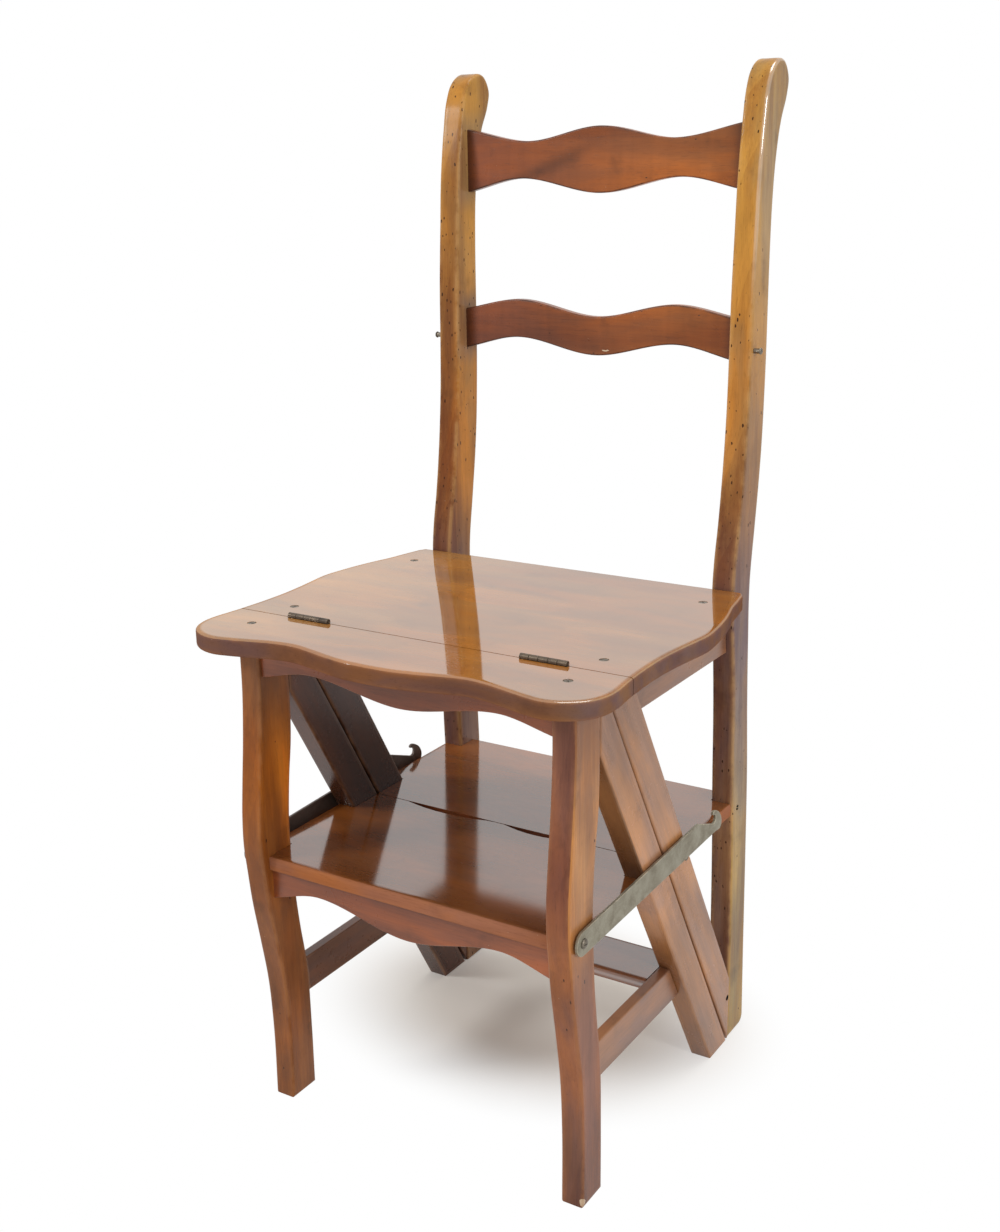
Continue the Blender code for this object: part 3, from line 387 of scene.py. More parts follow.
GRAIN_NOISES = {"drift": ((3.5, 20.0, 20.0), 2.0, 0.5, 0.3),
                "streak": ((5.0, 130.0, 130.0), 3.0, 0.6, 0.3),
                "fibre": ((26.0, 700.0, 700.0), 2.0, 0.6),
                "pores": ((100.0, 1500.0, 1500.0), 1.0, 0.5),
                "ripple": ((110.0, 12.0, 12.0), 1.0, 0.5, 0.6),
                "blotch": ((13.0, 24.0, 24.0), 3.0, 0.55, 0.4),
                "warmth": ((8.0, 30.0, 30.0), 3.0, 0.6, 0.5)}
RING_SLANT = (0.10, 1.0, 0.7)
RING_WAVE = {"Scale": 30.0, "Distortion": 5.0, "Detail": 2.0, "Detail Scale": 0.5, "Detail Roughness": 0.5}
DRIFT_RANGE = (0.32, 0.68)
FIBRE_DEPTH = 0.6
WARMTH_RANGE = (0.35, 0.65)
COOL_TINT = (0.86, 0.90, 1.12, 1)
WARM_TINT = (1.12, 1.02, 0.80, 1)
PORE_SHADE = (0.60, 0.76, 0.0, 0.22)
FIBRE_RELIEF = 0.5
PORE_RELIEF = (0.6, 0.8)


def cherry_grain():
    """Figure of cherry along X: slow drifts of colour, streaks, growth rings, fibres, ripple."""
    group, given, made = node_group(
        "cherry_grain",
        [("Vector", "Vector", (0, 0, 0)), ("Pale", "Color", (0.3, 0.13, 0.05, 1)),
         ("Deep", "Color", (0.15, 0.05, 0.02, 1)), ("Rings", "Float", 0.1), ("Streaks", "Float", 0.5),
         ("Ripple", "Float", 0.06), ("Blotches", "Float", 0.3)],
        [("Color", "Color"), ("Height", "Float")])
    vector = given["Vector"]
    figure = {name: noise(group, vector, *sizes) for name, sizes in GRAIN_NOISES.items()}
    rings = node(group, "ShaderNodeTexWave", {"Vector": stretched(group, vector, RING_SLANT), **RING_WAVE},
                 wave_type="BANDS", bands_direction="DIAGONAL", wave_profile="SAW").outputs["Fac"]
    depth = ranged(group, figure["drift"], *DRIFT_RANGE)
    for part, amount in ((rings, given["Rings"]), (figure["streak"], given["Streaks"]),
                         (figure["fibre"], FIBRE_DEPTH)):
        depth = swung(group, part, amount, depth)
    depth = node(group, "ShaderNodeClamp", {"Value": depth}).outputs["Result"]
    colour = mixed(group, depth, given["Pale"], given["Deep"])
    warmth = mixed(group, ranged(group, figure["warmth"], *WARMTH_RANGE), COOL_TINT, WARM_TINT)
    colour = mixed(group, 1.0, colour, warmth, "MULTIPLY")
    shade = swung(group, figure["ripple"], given["Ripple"], 1.0)
    shade = swung(group, figure["blotch"], given["Blotches"], shade)
    shade = maths(group, "SUBTRACT", shade, ranged(group, figure["pores"], *PORE_SHADE))
    colour = mixed(group, 1.0, colour, vector_of(group, X=shade, Y=shade, Z=shade), "MULTIPLY")
    group.links.new(colour, made.inputs["Color"])
    relief = maths(group, "SUBTRACT", maths(group, "MULTIPLY", figure["fibre"], FIBRE_RELIEF),
                   ranged(group, figure["pores"], *PORE_RELIEF))
    group.links.new(relief, made.inputs["Height"])
    return group


HOLE_WANDER = {"Scale": 260.0, "Detail": 1.0}
HOLE_DRIFT = (0.0014, 0.0014, 0.0014)
HOLE_SQUEEZE = (0.45, 1.0, 1.0)
HOLE_LEAST = 0.4
CLUSTER_SCALES = (22.0, 30.0, 30.0)
CLUSTER_RANGE = (0.38, 0.56, 0.26, 1.2)


def worm_holes():
    """Small dark pits in clusters, longer along X than they are wide."""
    group, given, made = node_group(
        "worm_holes",
        [("Vector", "Vector", (0, 0, 0)), ("Cell", "Float", 0.0042), ("Width", "Float", 0.0006),
         ("Share", "Float", 0.3)],
        [("Mask", "Float")])
    wander = node(group, "ShaderNodeTexNoise", {"Vector": given["Vector"], **HOLE_WANDER}).outputs["Color"]
    moved = vector_maths(group, "ADD", given["Vector"], stretched(group, wander, HOLE_DRIFT))
    moved = stretched(group, moved, HOLE_SQUEEZE)
    fineness = maths(group, "DIVIDE", 1.0, given["Cell"])
    cells = node(group, "ShaderNodeTexVoronoi", {"Vector": moved, "Scale": fineness, "Randomness": 1.0},
                 feature="F1").outputs
    reach = maths(group, "MULTIPLY", cells["Distance"], given["Cell"])
    parts = node(group, "ShaderNodeSeparateColor", {"Color": cells["Color"]}).outputs
    size = maths(group, "MULTIPLY", given["Width"], maths(group, "ADD", parts["Green"], HOLE_LEAST))
    pit = maths(group, "LESS_THAN", reach, size)
    cluster = ranged(group, noise(group, given["Vector"], CLUSTER_SCALES), *CLUSTER_RANGE)
    chosen = maths(group, "LESS_THAN", parts["Red"], maths(group, "MULTIPLY", given["Share"], cluster))
    group.links.new(maths(group, "MULTIPLY", pit, chosen), made.inputs["Mask"])
    return group


EDGE_BREAKS = ((55.0, 55.0, 55.0), 4.0, 0.65)
EDGE_RUNS = ((7.0, 7.0, 7.0), 2.0, 0.5)
EDGE_BASE = 0.5
EDGE_RANGE = (0.30, 0.62)


def worn_edges():
    """A mask of the places where an arris has lost its stain, broken up by noise."""
    group, given, made = node_group(
        "worn_edges",
        [("Vector", "Vector", (0, 0, 0)), ("Wear", "Float", 0), ("Amount", "Float", 0.6)],
        [("Mask", "Float")])
    broken = noise(group, given["Vector"], *EDGE_BREAKS)
    run = noise(group, given["Vector"], *EDGE_RUNS)
    chance = maths(group, "MULTIPLY", broken, maths(group, "ADD", run, EDGE_BASE))
    mask = maths(group, "MULTIPLY", given["Wear"], ranged(group, chance, *EDGE_RANGE))
    group.links.new(maths(group, "MULTIPLY", mask, given["Amount"]), made.inputs["Mask"])
    return group


CLOUDS = ((26.0, 26.0, 26.0), 4.0, 0.6)
FINE_CLOUDS = ((240.0, 240.0, 240.0), 2.0, 0.5)
CLOUD_SHARES = (0.75, 0.25)
CLOUD_MIDDLE = 0.45
GRIME_RANGE = (0.56, 0.74)
SPECK_SCALE = 150.0
SPECK_RADIUS = 0.055
SPECK_SHARE = 0.10


def old_polish():
    """What age leaves on the polish: cloudy patches, grime and pale specks."""
    group, given, made = node_group(
        "old_polish",
        [("Vector", "Vector", (0, 0, 0)), ("Roughness", "Float", 0.25), ("Haze", "Float", 0.12)],
        [("Roughness", "Float"), ("Grime", "Float"), ("Specks", "Float")])
    cloud = noise(group, given["Vector"], *CLOUDS)
    fine = noise(group, given["Vector"], *FINE_CLOUDS)
    spread = maths(group, "ADD", maths(group, "MULTIPLY", cloud, CLOUD_SHARES[0]),
                   maths(group, "MULTIPLY", fine, CLOUD_SHARES[1]))
    haze = maths(group, "MULTIPLY", maths(group, "SUBTRACT", spread, CLOUD_MIDDLE), given["Haze"])
    group.links.new(maths(group, "ADD", given["Roughness"], haze), made.inputs["Roughness"])
    group.links.new(ranged(group, cloud, *GRIME_RANGE), made.inputs["Grime"])
    dots = node(group, "ShaderNodeTexVoronoi", {"Vector": given["Vector"], "Scale": SPECK_SCALE},
                feature="F1").outputs
    dot = maths(group, "LESS_THAN", dots["Distance"], SPECK_RADIUS)
    parts = node(group, "ShaderNodeSeparateColor", {"Color": dots["Color"]}).outputs
    chosen = maths(group, "LESS_THAN", parts["Red"], SPECK_SHARE)
    group.links.new(maths(group, "MULTIPLY", dot, chosen), made.inputs["Specks"])
    return group


GRAIN, HOLES, EDGES, POLISH = cherry_grain(), worm_holes(), worn_edges(), old_polish()
HOLE_COLOUR = (0.045, 0.016, 0.007, 1)
# The colour of the polish's grime, also mixed in as painted shade on the stiles and at the slats' shoulders
GRIME_AND_SHADE_COLOUR = (0.035, 0.014, 0.008, 1)
SPECK_COLOUR = (0.55, 0.40, 0.27, 1)
SPECK_STRENGTH = 0.5
CHIP_COLOUR = (0.62, 0.50, 0.36, 1)
CHIP_BREAK = 0.003
CHIP_NOISE = 400.0
UPWARDS = (0, math.pi / 2, 0)
GRAIN_HEIGHT = 0.2
WOOD_BUMP = {"Strength": 0.25, "Distance": 0.0006}
COAT_ROUGHNESS = 0.05
COAT_IOR = 3.0
COAT_LOSS = (0.0, 0.4, 0.0, 0.6)


def grouped(tree, group, **inputs):
    """The outputs of a group placed in a material with its own values."""
    return node(tree, "ShaderNodeGroup", inputs, node_tree=group).outputs


def chipped(tree, place, colour, centre, size, scales=(1, 1, 1)):
    """A small chip that shows bare wood at a place, narrower where scaled up."""
    broken = node(tree, "ShaderNodeTexNoise", {"Vector": place, "Scale": CHIP_NOISE}).outputs["Color"]
    moved = vector_maths(tree, "ADD", place, stretched(tree, broken, (CHIP_BREAK, CHIP_BREAK, CHIP_BREAK)))
    off = vector_maths(tree, "SUBTRACT", moved, [along + CHIP_BREAK / 2 for along in centre])
    away = vector_maths(tree, "LENGTH", stretched(tree, off, scales))
    return mixed(tree, maths(tree, "LESS_THAN", away, size), colour, CHIP_COLOUR)


def tinted(tree, where, colour, tint):
    """A colour tinted where a mask is 1."""
    return mixed(tree, where, colour, (*tint, 1), "MULTIPLY")


def close_to(tree, value, centre, near, far, most=1.0):
    """How close a value lies to a centre: the most up to near, and 0 from far on."""
    off = maths(tree, "ABSOLUTE", maths(tree, "SUBTRACT", value, centre))
    return ranged(tree, off, near, far, most, 0.0)


def shaded(tree, value, low, high, colour, low_tint, high_tint):
    """A colour tinted by a place along one direction."""
    tint = mixed(tree, ranged(tree, value, low, high), (*low_tint, 1), (*high_tint, 1))
    return mixed(tree, 1.0, colour, tint, "MULTIPLY")


def new_material(name):
    """A material, its tree and shader, and each point's place and wear."""
    material = bpy.data.materials.new(name)
    material.use_nodes = True
    tree = material.node_tree
    place = node(tree, "ShaderNodeTexCoord").outputs["Object"]
    rubbed = node(tree, "ShaderNodeAttribute", attribute_name="wear").outputs["Fac"]
    return material, tree, tree.nodes["Principled BSDF"].inputs, place, rubbed


def polished_wood(name, pale, deep, worn, turn=(0, 0, 0), roughness=0.22, rings=0.1, streaks=0.5,
                  ripple=0.06, blotches=0.3, holes=0.0, wear=0.4, grime=0.3, coat=0.0, shine=0.5, dull=0.12,
                  nose=None, extra=None, blur=COAT_ROUGHNESS):
    """Stained and polished cherry, its grain turned to run along the piece.

    The nose is a band of heights with its own tint and no coat. The holes' share and the coat
    may be functions of the place, and the extra one adds a piece's own marks to its colour.
    """
    material, tree, shader, place, rubbed = new_material(name)
    along = node(tree, "ShaderNodeMapping", {"Vector": place, "Rotation": turn}).outputs["Vector"]
    grain = grouped(tree, GRAIN, Vector=along, Pale=(*pale, 1), Deep=(*deep, 1), Rings=rings,
                    Streaks=streaks, Ripple=ripple, Blotches=blotches)
    polish = grouped(tree, POLISH, Vector=place, Roughness=roughness)
    colour = mixed(tree, maths(tree, "MULTIPLY", polish["Grime"], grime), grain["Color"], GRIME_AND_SHADE_COLOUR)
    if extra:
        colour = extra(tree, place, colour)
    if nose:
        low, high, tint = nose
        height = split_up(tree, place)["Z"]
        on_nose = maths(tree, "MULTIPLY", maths(tree, "GREATER_THAN", height, low),
                        maths(tree, "LESS_THAN", height, high))
        colour = tinted(tree, on_nose, colour, tint)
    edge = grouped(tree, EDGES, Vector=place, Wear=rubbed, Amount=wear)
    colour = mixed(tree, edge["Mask"], colour, (*worn, 1))
    colour = mixed(tree, maths(tree, "MULTIPLY", polish["Specks"], SPECK_STRENGTH), colour, SPECK_COLOUR)
    height = maths(tree, "MULTIPLY", grain["Height"], GRAIN_HEIGHT)
    if holes:
        share = holes(tree, place) if callable(holes) else holes
        pits = grouped(tree, HOLES, Vector=along, Share=share)
        colour = mixed(tree, pits["Mask"], colour, HOLE_COLOUR)
        height = maths(tree, "SUBTRACT", height, pits["Mask"])
    bump = node(tree, "ShaderNodeBump", {"Height": height, **WOOD_BUMP})
    tree.links.new(colour, shader["Base Color"])
    tree.links.new(maths(tree, "MULTIPLY_ADD", rubbed, dull, polish["Roughness"]), shader["Roughness"])
    tree.links.new(bump.outputs["Normal"], shader["Normal"])
    if callable(coat):
        tree.links.new(coat(tree, place, rubbed), shader["Coat Weight"])
    elif coat:
        left = maths(tree, "SUBTRACT", 1.0, ranged(tree, rubbed, *COAT_LOSS))
        if nose:
            left = maths(tree, "MULTIPLY", left, maths(tree, "SUBTRACT", 1.0, on_nose))
        tree.links.new(maths(tree, "MULTIPLY", left, coat), shader["Coat Weight"])
    shader["Specular IOR Level"].default_value = shine
    shader["Coat Roughness"].default_value = blur
    shader["Coat IOR"].default_value = COAT_IOR
    return material


leg_low, leg_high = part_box("front_leg_right")
knee = SPLIT - leg_low.y
leg_face = smooth_line([(SPLIT - knee * out, leg_high.z * up) for up, out in LEG_FACE_SHARES])
leg_back = smooth_line([(SPLIT + knee * out, leg_high.z * up) for up, out in LEG_BACK_SHARES])
leg_outline = leg_face + leg_back[::-1]
LEFT_TINT = (1.36, 1.36, 0.86)
RIGHT_TINT = (1.02, 1.08, 1.45)
LEG_REACH = 0.085
KNEE_SHARE = 0.69
KNEE_TINT = (0.60, 0.55, 0.72)
GLOW_SHARE = 0.73
GLOW_TINT = (1.60, 1.30, 0.45)
TOP_TINT = (0.55, 0.60, 0.95)
FOOT_SHARE = 0.12
FOOT_TINT = (0.62, 0.70, 0.85)
SIDE_SHARE = 0.78
SIDE_REACH = 0.17
# Painted light: the right leg's outer side is paler below the seat
SIDE_LIGHT_TINT = (2.35, 2.85, 1.80)
FACE_SKIN = 0.0009
FOOT_CHIP_HEIGHT = 0.005
FOOT_CHIP = 0.0035


def leg_marks(tree, place, colour):
    """The left leg is the more orange one, with a bright knee under a dark top.

    The right one is dark at its knee and foot, and its outer side is painted paler below the seat, a painted
    light.
    """
    spot = split_up(tree, place)
    colour = shaded(tree, spot["X"], -leg_low.x, leg_low.x, colour, LEFT_TINT, RIGHT_TINT)
    on_right = maths(tree, "GREATER_THAN", spot["X"], 0.0)
    inward = maths(tree, "LESS_THAN", spot["X"], leg_high.x - FACE_SKIN)
    on_left = maths(tree, "SUBTRACT", 1.0, on_right)
    on_face = maths(tree, "MULTIPLY", on_right, inward)
    on_side = maths(tree, "SUBTRACT", 1.0, inward)
    for share, reach, tint, where in ((KNEE_SHARE, LEG_REACH, KNEE_TINT, on_face),
                                      (FOOT_SHARE, LEG_REACH, FOOT_TINT, on_face),
                                      (GLOW_SHARE, LEG_REACH, GLOW_TINT, on_left),
                                      (1.0, LEG_REACH, TOP_TINT, on_left),
                                      (SIDE_SHARE, SIDE_REACH, SIDE_LIGHT_TINT, on_side)):
        near = close_to(tree, spot["Z"], leg_high.z * share, 0.0, reach)
        colour = tinted(tree, maths(tree, "MULTIPLY", near, where), colour, tint)
    return chipped(tree, place, colour, (leg_high.x, leg_face[0][0], FOOT_CHIP_HEIGHT), FOOT_CHIP)


leg_wood = polished_wood("leg_cherry", (0.33, 0.122, 0.042), (0.16, 0.054, 0.022), (0.46, 0.21, 0.09),
                         UPWARDS, roughness=0.24, rings=0.15, streaks=0.6, holes=0.06, blotches=0.9,
                         wear=0.35, shine=0.2, extra=leg_marks)


def add_pair(name, nodes, outline, body, material, slot, **edges):
    """A left and a right board of one outline across X, each for its own node."""
    for side_name in SIDES:
        low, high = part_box(nodes + "_" + side_name)
        mesh = board_mesh(name + "_" + side_name, outline, low.x, high.x, "X", **edges)
        add_piece(name + "_" + side_name, mesh, body, material, slot, nodes + "_" + side_name)


add_pair("sawn_leg", "front_leg", leg_outline, "front_half", leg_wood, "wood_upright", edge=LEG_ARRIS)


# Stiles: two straight planks a side, laid along the slope where the chair splits. The front
# pair is screwed to the legs, the rear pair to the posts, and the halves part between them.
STILE_WIDTH_FRONT = 0.0368
STILE_WIDTH_REAR = 0.041
SPLIT_GAP = 0.0010
# Painted shade: the left stiles are darkened all over, and they and the right one's front edge darken more towards
# the tread
STILE_SHADE = 0.80
STILE_LEFT_SHADE = (0.31, 0.22, 0.21)
MEETING_STEPS = 40

split_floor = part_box("front_stile_right")[1].y + SPLIT_GAP / 2
stile_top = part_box("front_stile_right")[1].z
tread_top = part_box("mid_tread_front")[1].z
SLOPE = (split_floor - SPLIT) / HINGE_Z
ALONG_STILE = (-math.atan(SLOPE), math.pi / 2, 0)


def split_y(z):
    """Where the split's slope lies at a height."""
    return split_floor - SLOPE * z


def depth_at(line, height):
    """How far back a line that climbs from the floor lies at a height."""
    for (y_low, z_low), (y_high, z_high) in zip(line, line[1:]):
        if z_low <= height <= z_high:
            return y_low + (y_high - y_low) * (height - z_low) / (z_high - z_low)
    return line[0][0]


def meeting(line, shift, low, high):
    """The height between two others at which a climbing line crosses the shifted split."""
    for _ in range(MEETING_STEPS):
        middle = (low + high) / 2
        if depth_at(line, middle) > split_y(middle) + shift:
            high = middle
        else:
            low = middle
    return (low + high) / 2


def stile_marks(tree, place, colour):
    """Painted shade: the left stiles are dark, and they and the right one's front edge darken towards the tread.
    """
    spot = split_up(tree, place)
    slope = maths(tree, "MULTIPLY_ADD", spot["Z"], SLOPE, spot["Y"])
    on_left = maths(tree, "LESS_THAN", spot["X"], 0.0)
    edge = maths(tree, "LESS_THAN", slope, split_floor - STILE_WIDTH_FRONT + FACE_SKIN)
    where = maths(tree, "MULTIPLY", maths(tree, "MAXIMUM", edge, on_left),
                  maths(tree, "GREATER_THAN", spot["Z"], tread_top - ARRIS))
    near = maths(tree, "MULTIPLY", where, ranged(tree, spot["Z"], tread_top, stile_top, STILE_SHADE, 0.0))
    return mixed(tree, near, tinted(tree, on_left, colour, STILE_LEFT_SHADE), GRIME_AND_SHADE_COLOUR)


stile_wood = polished_wood("stile_cherry", (0.52, 0.26, 0.125), (0.27, 0.128, 0.062), (0.50, 0.29, 0.17),
                           ALONG_STILE, roughness=0.26, rings=0.1, streaks=0.6, blotches=0.6, wear=0.3,
                           shine=0.35, extra=stile_marks)
crossing = meeting(leg_back, -STILE_WIDTH_FRONT, 0, stile_top)
front_stile = [(split_y(0) - SPLIT_GAP / 2, 0), (split_y(stile_top) - SPLIT_GAP / 2, stile_top)]
front_stile += [(y + FIT, z) for y, z in reversed(leg_back) if crossing < z < stile_top]
front_stile += [(split_y(crossing) - STILE_WIDTH_FRONT, crossing), (split_y(0) - STILE_WIDTH_FRONT, 0)]
add_pair("front_plank", "front_stile", front_stile, "front_half", stile_wood, "wood_frame")


# Back posts: each sawn from one plank in a long sweep, from a square foot with a rounded
# heel to a scroll at the top. They carry the slats, the seat panel and the rear stiles.
POST_FACE_SHARES = ((0, 0.187), (0.157, 0.185), (0.230, 0.165), (0.300, 0.130), (0.370, 0.110),
                    (0.430, 0.070), (0.478, 0.018), (0.506, 0.005), (0.534, 0.036),
                    (0.565, 0.100), (0.618, 0.182), (0.675, 0.239), (0.731, 0.264),
                    (0.787, 0.278), (0.843, 0.315), (0.900, 0.358), (0.945, 0.430),
                    (0.972, 0.492), (0.988, 0.575), (0.997, 0.690), (1, 0.795))
POST_BACK_SHARES = ((0.9985, 0.880), (0.992, 0.955), (0.982, 1.0), (0.968, 0.968),
                    (0.945, 0.845), (0.911, 0.745), (0.873, 0.695), (0.830, 0.675),
                    (0.775, 0.670), (0.723, 0.668), (0.684, 0.655), (0.644, 0.632),
                    (0.607, 0.592), (0.562, 0.523), (0.506, 0.440), (0.444, 0.450),
                    (0.379, 0.480), (0.300, 0.538), (0.200, 0.570), (0.099, 0.592))
POST_FOOT_SHARE = 0.618
HEEL_RADIUS = 0.009
HEEL_STEPS = 6
POST_ARRIS = 0.0026
# Tints by height: a painted shade below the seat, a middle tint, and a paler, yellower top
POST_TINTS = ((0.62, 0.74, 2.20), (0.94, 0.86, 0.95), (1.09, 1.34, 1.45))
POST_TINT_SHARES = ((0.47, 0.60), (0.62, 0.94))
# Painted light and reflection: the right post's outer side is paler and greyer below
POST_SIDE_LIGHT_TINTS = ((1.56, 1.88, 0.88), (0.90, 1.05, 1.60))
# Painted shade: the left post is darker and browner
POST_LEFT_SHADE = (0.82, 0.74, 0.72)
CREST_HEIGHT_SHARE = 0.9134
SLAT_HEIGHT_SHARE = 0.7427
SLAT_SHADOWS = ((CREST_HEIGHT_SHARE, 0.028), (SLAT_HEIGHT_SHARE, 0.018))
SLAT_SHADOW = (0.74, 0.86, 1.60)
SHADOW_REACH = 0.022
ARRIS_COAT = 0.6
ARRIS_SHARES = (0.76, 0.86)
ARRIS_RUBBED = (0.3, 0.7)
HOLE_SHARES = (1.7, 0.25)

post_low, post_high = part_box("back_post_right")
post_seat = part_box("seat_rear_panel")[1].y + FIT
post_depth = post_high.y - post_seat
post_line = smooth_line([(post_seat + post_depth * back, post_high.z * up)
                         for up, back in POST_FACE_SHARES + POST_BACK_SHARES])
post_face = post_line[:CURVE_STEPS * (len(POST_FACE_SHARES) - 1) + 1]
heel = post_seat + post_depth * POST_FOOT_SHARE
turns = [math.pi / 2 * i / HEEL_STEPS for i in range(HEEL_STEPS + 1)]
post_outline = post_line + [(heel - HEEL_RADIUS * (1 - math.cos(turn)), HEEL_RADIUS * (1 - math.sin(turn)))
                            for turn in turns]


def post_marks(tree, place, colour):
    """The posts are darker below the seat, a painted shade, and paler and yellower towards the top.

    The right one's outer side is painted paler below, a painted light, the left one is darker and browner, a
    painted shade, and the slats cast painted shadows on both inside.
    """
    spot = split_up(tree, place)
    height = spot["Z"]
    (dark, mid), (low, high) = POST_TINT_SHARES
    outside = maths(tree, "GREATER_THAN", spot["X"], post_high.x - FACE_SKIN)
    side_light = mixed(tree, ranged(tree, height, 0.0, post_high.z * mid), (*POST_SIDE_LIGHT_TINTS[0], 1),
                  (*POST_SIDE_LIGHT_TINTS[1], 1))
    colour = mixed(tree, outside, colour, side_light, "MULTIPLY")
    colour = shaded(tree, height, post_high.z * dark, post_high.z * mid, colour, POST_TINTS[0], POST_TINTS[1])
    colour = shaded(tree, height, post_high.z * low, post_high.z * high, colour, (1, 1, 1), POST_TINTS[2])
    left_face = maths(tree, "LESS_THAN", spot["X"], -post_low.x - FACE_SKIN)
    colour = tinted(tree, left_face, colour, POST_LEFT_SHADE)
    inside = maths(tree, "LESS_THAN", maths(tree, "ABSOLUTE", spot["X"]), post_low.x + FACE_SKIN)
    for share, half in SLAT_SHADOWS:
        near = close_to(tree, height, post_high.z * share, half, half + SHADOW_REACH)
        colour = tinted(tree, maths(tree, "MULTIPLY", inside, near), colour, SLAT_SHADOW)
    return colour


def bright_arris(tree, place, rubbed):
    """The upper part of the right post's outer front arris is polished bright by hands."""
    spot = split_up(tree, place)
    outer = maths(tree, "GREATER_THAN", spot["X"], (post_low.x + post_high.x) / 2)
    upper = ranged(tree, spot["Z"], ARRIS_SHARES[0] * post_high.z, ARRIS_SHARES[1] * post_high.z)
    bright = maths(tree, "MULTIPLY", outer, upper)
    return maths(tree, "MULTIPLY", bright, ranged(tree, rubbed, *ARRIS_RUBBED, 0.0, ARRIS_COAT))


def post_holes(tree, place):
    """Worms have been in the posts' front faces more than in their outer ones."""
    outward = maths(tree, "ABSOLUTE", split_up(tree, place)["X"])
    return ranged(tree, outward, post_high.x - POST_ARRIS, post_high.x - FACE_SKIN, *HOLE_SHARES)


post_wood = polished_wood("post_cherry", (0.53, 0.262, 0.055), (0.27, 0.105, 0.026), (0.66, 0.40, 0.17),
                          UPWARDS, roughness=0.22, rings=0.2, streaks=0.8, holes=post_holes, blotches=0.8,
                          wear=0.45, shine=0.11, dull=-0.1, coat=bright_arris, extra=post_marks)
add_pair("sawn_post", "back_post", post_outline, "rear_half", post_wood, "wood_upright", edge=POST_ARRIS)

# Rear stiles, between the split and the posts
crossing = meeting(post_face, STILE_WIDTH_REAR, 0, stile_top)
rear_stile = [(y - FIT, z) for y, z in post_face if z < crossing]
rear_stile += [(split_y(crossing) + STILE_WIDTH_REAR, crossing),
               (split_y(stile_top) + STILE_WIDTH_REAR, stile_top),
               (split_y(stile_top) + SPLIT_GAP / 2, stile_top)]
add_pair("rear_plank", "rear_stile", rear_stile, "rear_half", stile_wood, "wood_frame")


# Seat: a strip with a lobed front edge, fixed over the legs, and a panel that turns with the
# rear half. Both are flat boards with a rounded nose, screwed down from above.
STRIP_SHARES = ((1.0, 0), (0.985, 0.12), (0.935, 0.22), (0.868, 0.32), (0.815, 0.42),
                (0.838, 0.52), (0.905, 0.62), (0.972, 0.72), (1.0, 0.79), (0.968, 0.855),
                (0.880, 0.915), (0.745, 0.962), (0.575, 0.986), (0.380, 0.990), (0.190, 0.982))
STRIP_END_SHARE = 0.974
PANEL_SHARES = ((0.115, 0.966), (0.220, 0.966), (0.300, 0.973), (0.395, 0.987), (0.490, 1.0),
                (0.590, 0.988), (0.690, 0.966), (0.760, 0.944), (0.815, 0.924), (0.900, 0.903),
                (0.976, 0.883))
PANEL_CORNER_SHARE = 0.866
SEAT_NOSE = 0.0026
SEAT_BACK_SHARE = 0.25
SCREW_HEAD = 0.0036
SCREW_SINK = 0.0005
SCREW_HOLE_DEPTH = 0.006
ROUND_SIDES = 32
HINGE_SET = 0.0059
HINGE_LENGTH = 0.0415
KNUCKLE_RADIUS = 0.0025
LEAF_THICK = 0.0008
LEAF_DROP = 0.011
OVERRUN = 0.02
# The seat's nose is darker, its own stained edge, and its greyer blue is a painted reflection, as the nose has no
# coat
SEAT_NOSE_TINT_AND_SHEEN = (0.57, 0.64, 1.75)
# Painted reflections: the seat's top paler towards the left, and its edge paler at the right end
SEAT_LEFT_SHEEN = (1.22, 1.42, 1.65)
SEAT_END_SHEEN = (1.18, 1.50, 1.95)
SEAT_SHEEN_SHARES = (0.80, 1.0)
SEAT_SKIN = 0.0011
EDGE_SKIN = 0.0003

strip_low, strip_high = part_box("seat_front_strip")
panel_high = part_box("seat_rear_panel")[1]
seat_half = panel_high.x
seat_top = panel_high.z
leg_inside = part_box("front_leg_right")[0].x
hinge_inner = leg_inside - HINGE_SET - HINGE_LENGTH


def flipped(points):
    """The left side of an outline, from the right side's points."""
    return [(-x, y) for x, y in reversed(points)]


def both_sides(points):
    """An outline's right side, then its left one, without a second point in the middle."""
    return points + [(x, y) for x, y in flipped(points) if x < 0]


def round_mesh(name, profile, axis, centre):
    """A turned piece from pairs of height along the axis and radius, all of it unworn."""
    turns = [2 * math.pi * i / ROUND_SIDES for i in range(ROUND_SIDES)]
    rings = []
    for height, radius in profile:
        ring = [(centre[0] + radius * math.cos(t), centre[1] + radius * math.sin(t)) for t in turns]
        rings.append((ring, height, 0))
    return closed_mesh(name, rings, axis)


def rectangle(low, high, first=0, second=1):
    """A box's outline along two of its directions, from its two corners."""
    return [(low[first], low[second]), (high[first], low[second]), (high[first], high[second]),
            (low[first], high[second])]


def box_mesh(name, low, high):
    """A square cutter between two corners."""
    outline = rectangle(low, high)
    return closed_mesh(name, [(outline, low[2], 0), (outline, high[2], 0)], "Z")


def carved(mesh, cutters):
    """A mesh with the cutters' shapes taken out of it."""
    work = in_scene(mesh.name + "_work", mesh)
    tools = [in_scene(cutter.name, cutter) for cutter in cutters]
    for tool in tools:
        cut = work.modifiers.new("cut", "BOOLEAN")
        cut.operation = "DIFFERENCE"
        cut.solver = "EXACT"
        cut.object = tool
    graph = bpy.context.evaluated_depsgraph_get()
    result = bpy.data.meshes.new_from_object(work.evaluated_get(graph))
    result.name = mesh.name + "_carved"
    for used in tools + [work]:
        bpy.data.objects.remove(used, do_unlink=True)
    return result


def screw_hole(name, x, y):
    """The countersink that a flush screw head lies in."""
    profile = [(seat_top - SCREW_HOLE_DEPTH, SCREW_HEAD / 2), (seat_top - SCREW_SINK, SCREW_HEAD + FIT),
               (seat_top + OVERRUN, SCREW_HEAD + FIT)]
    return round_mesh(name, profile, "Z", (x, y))


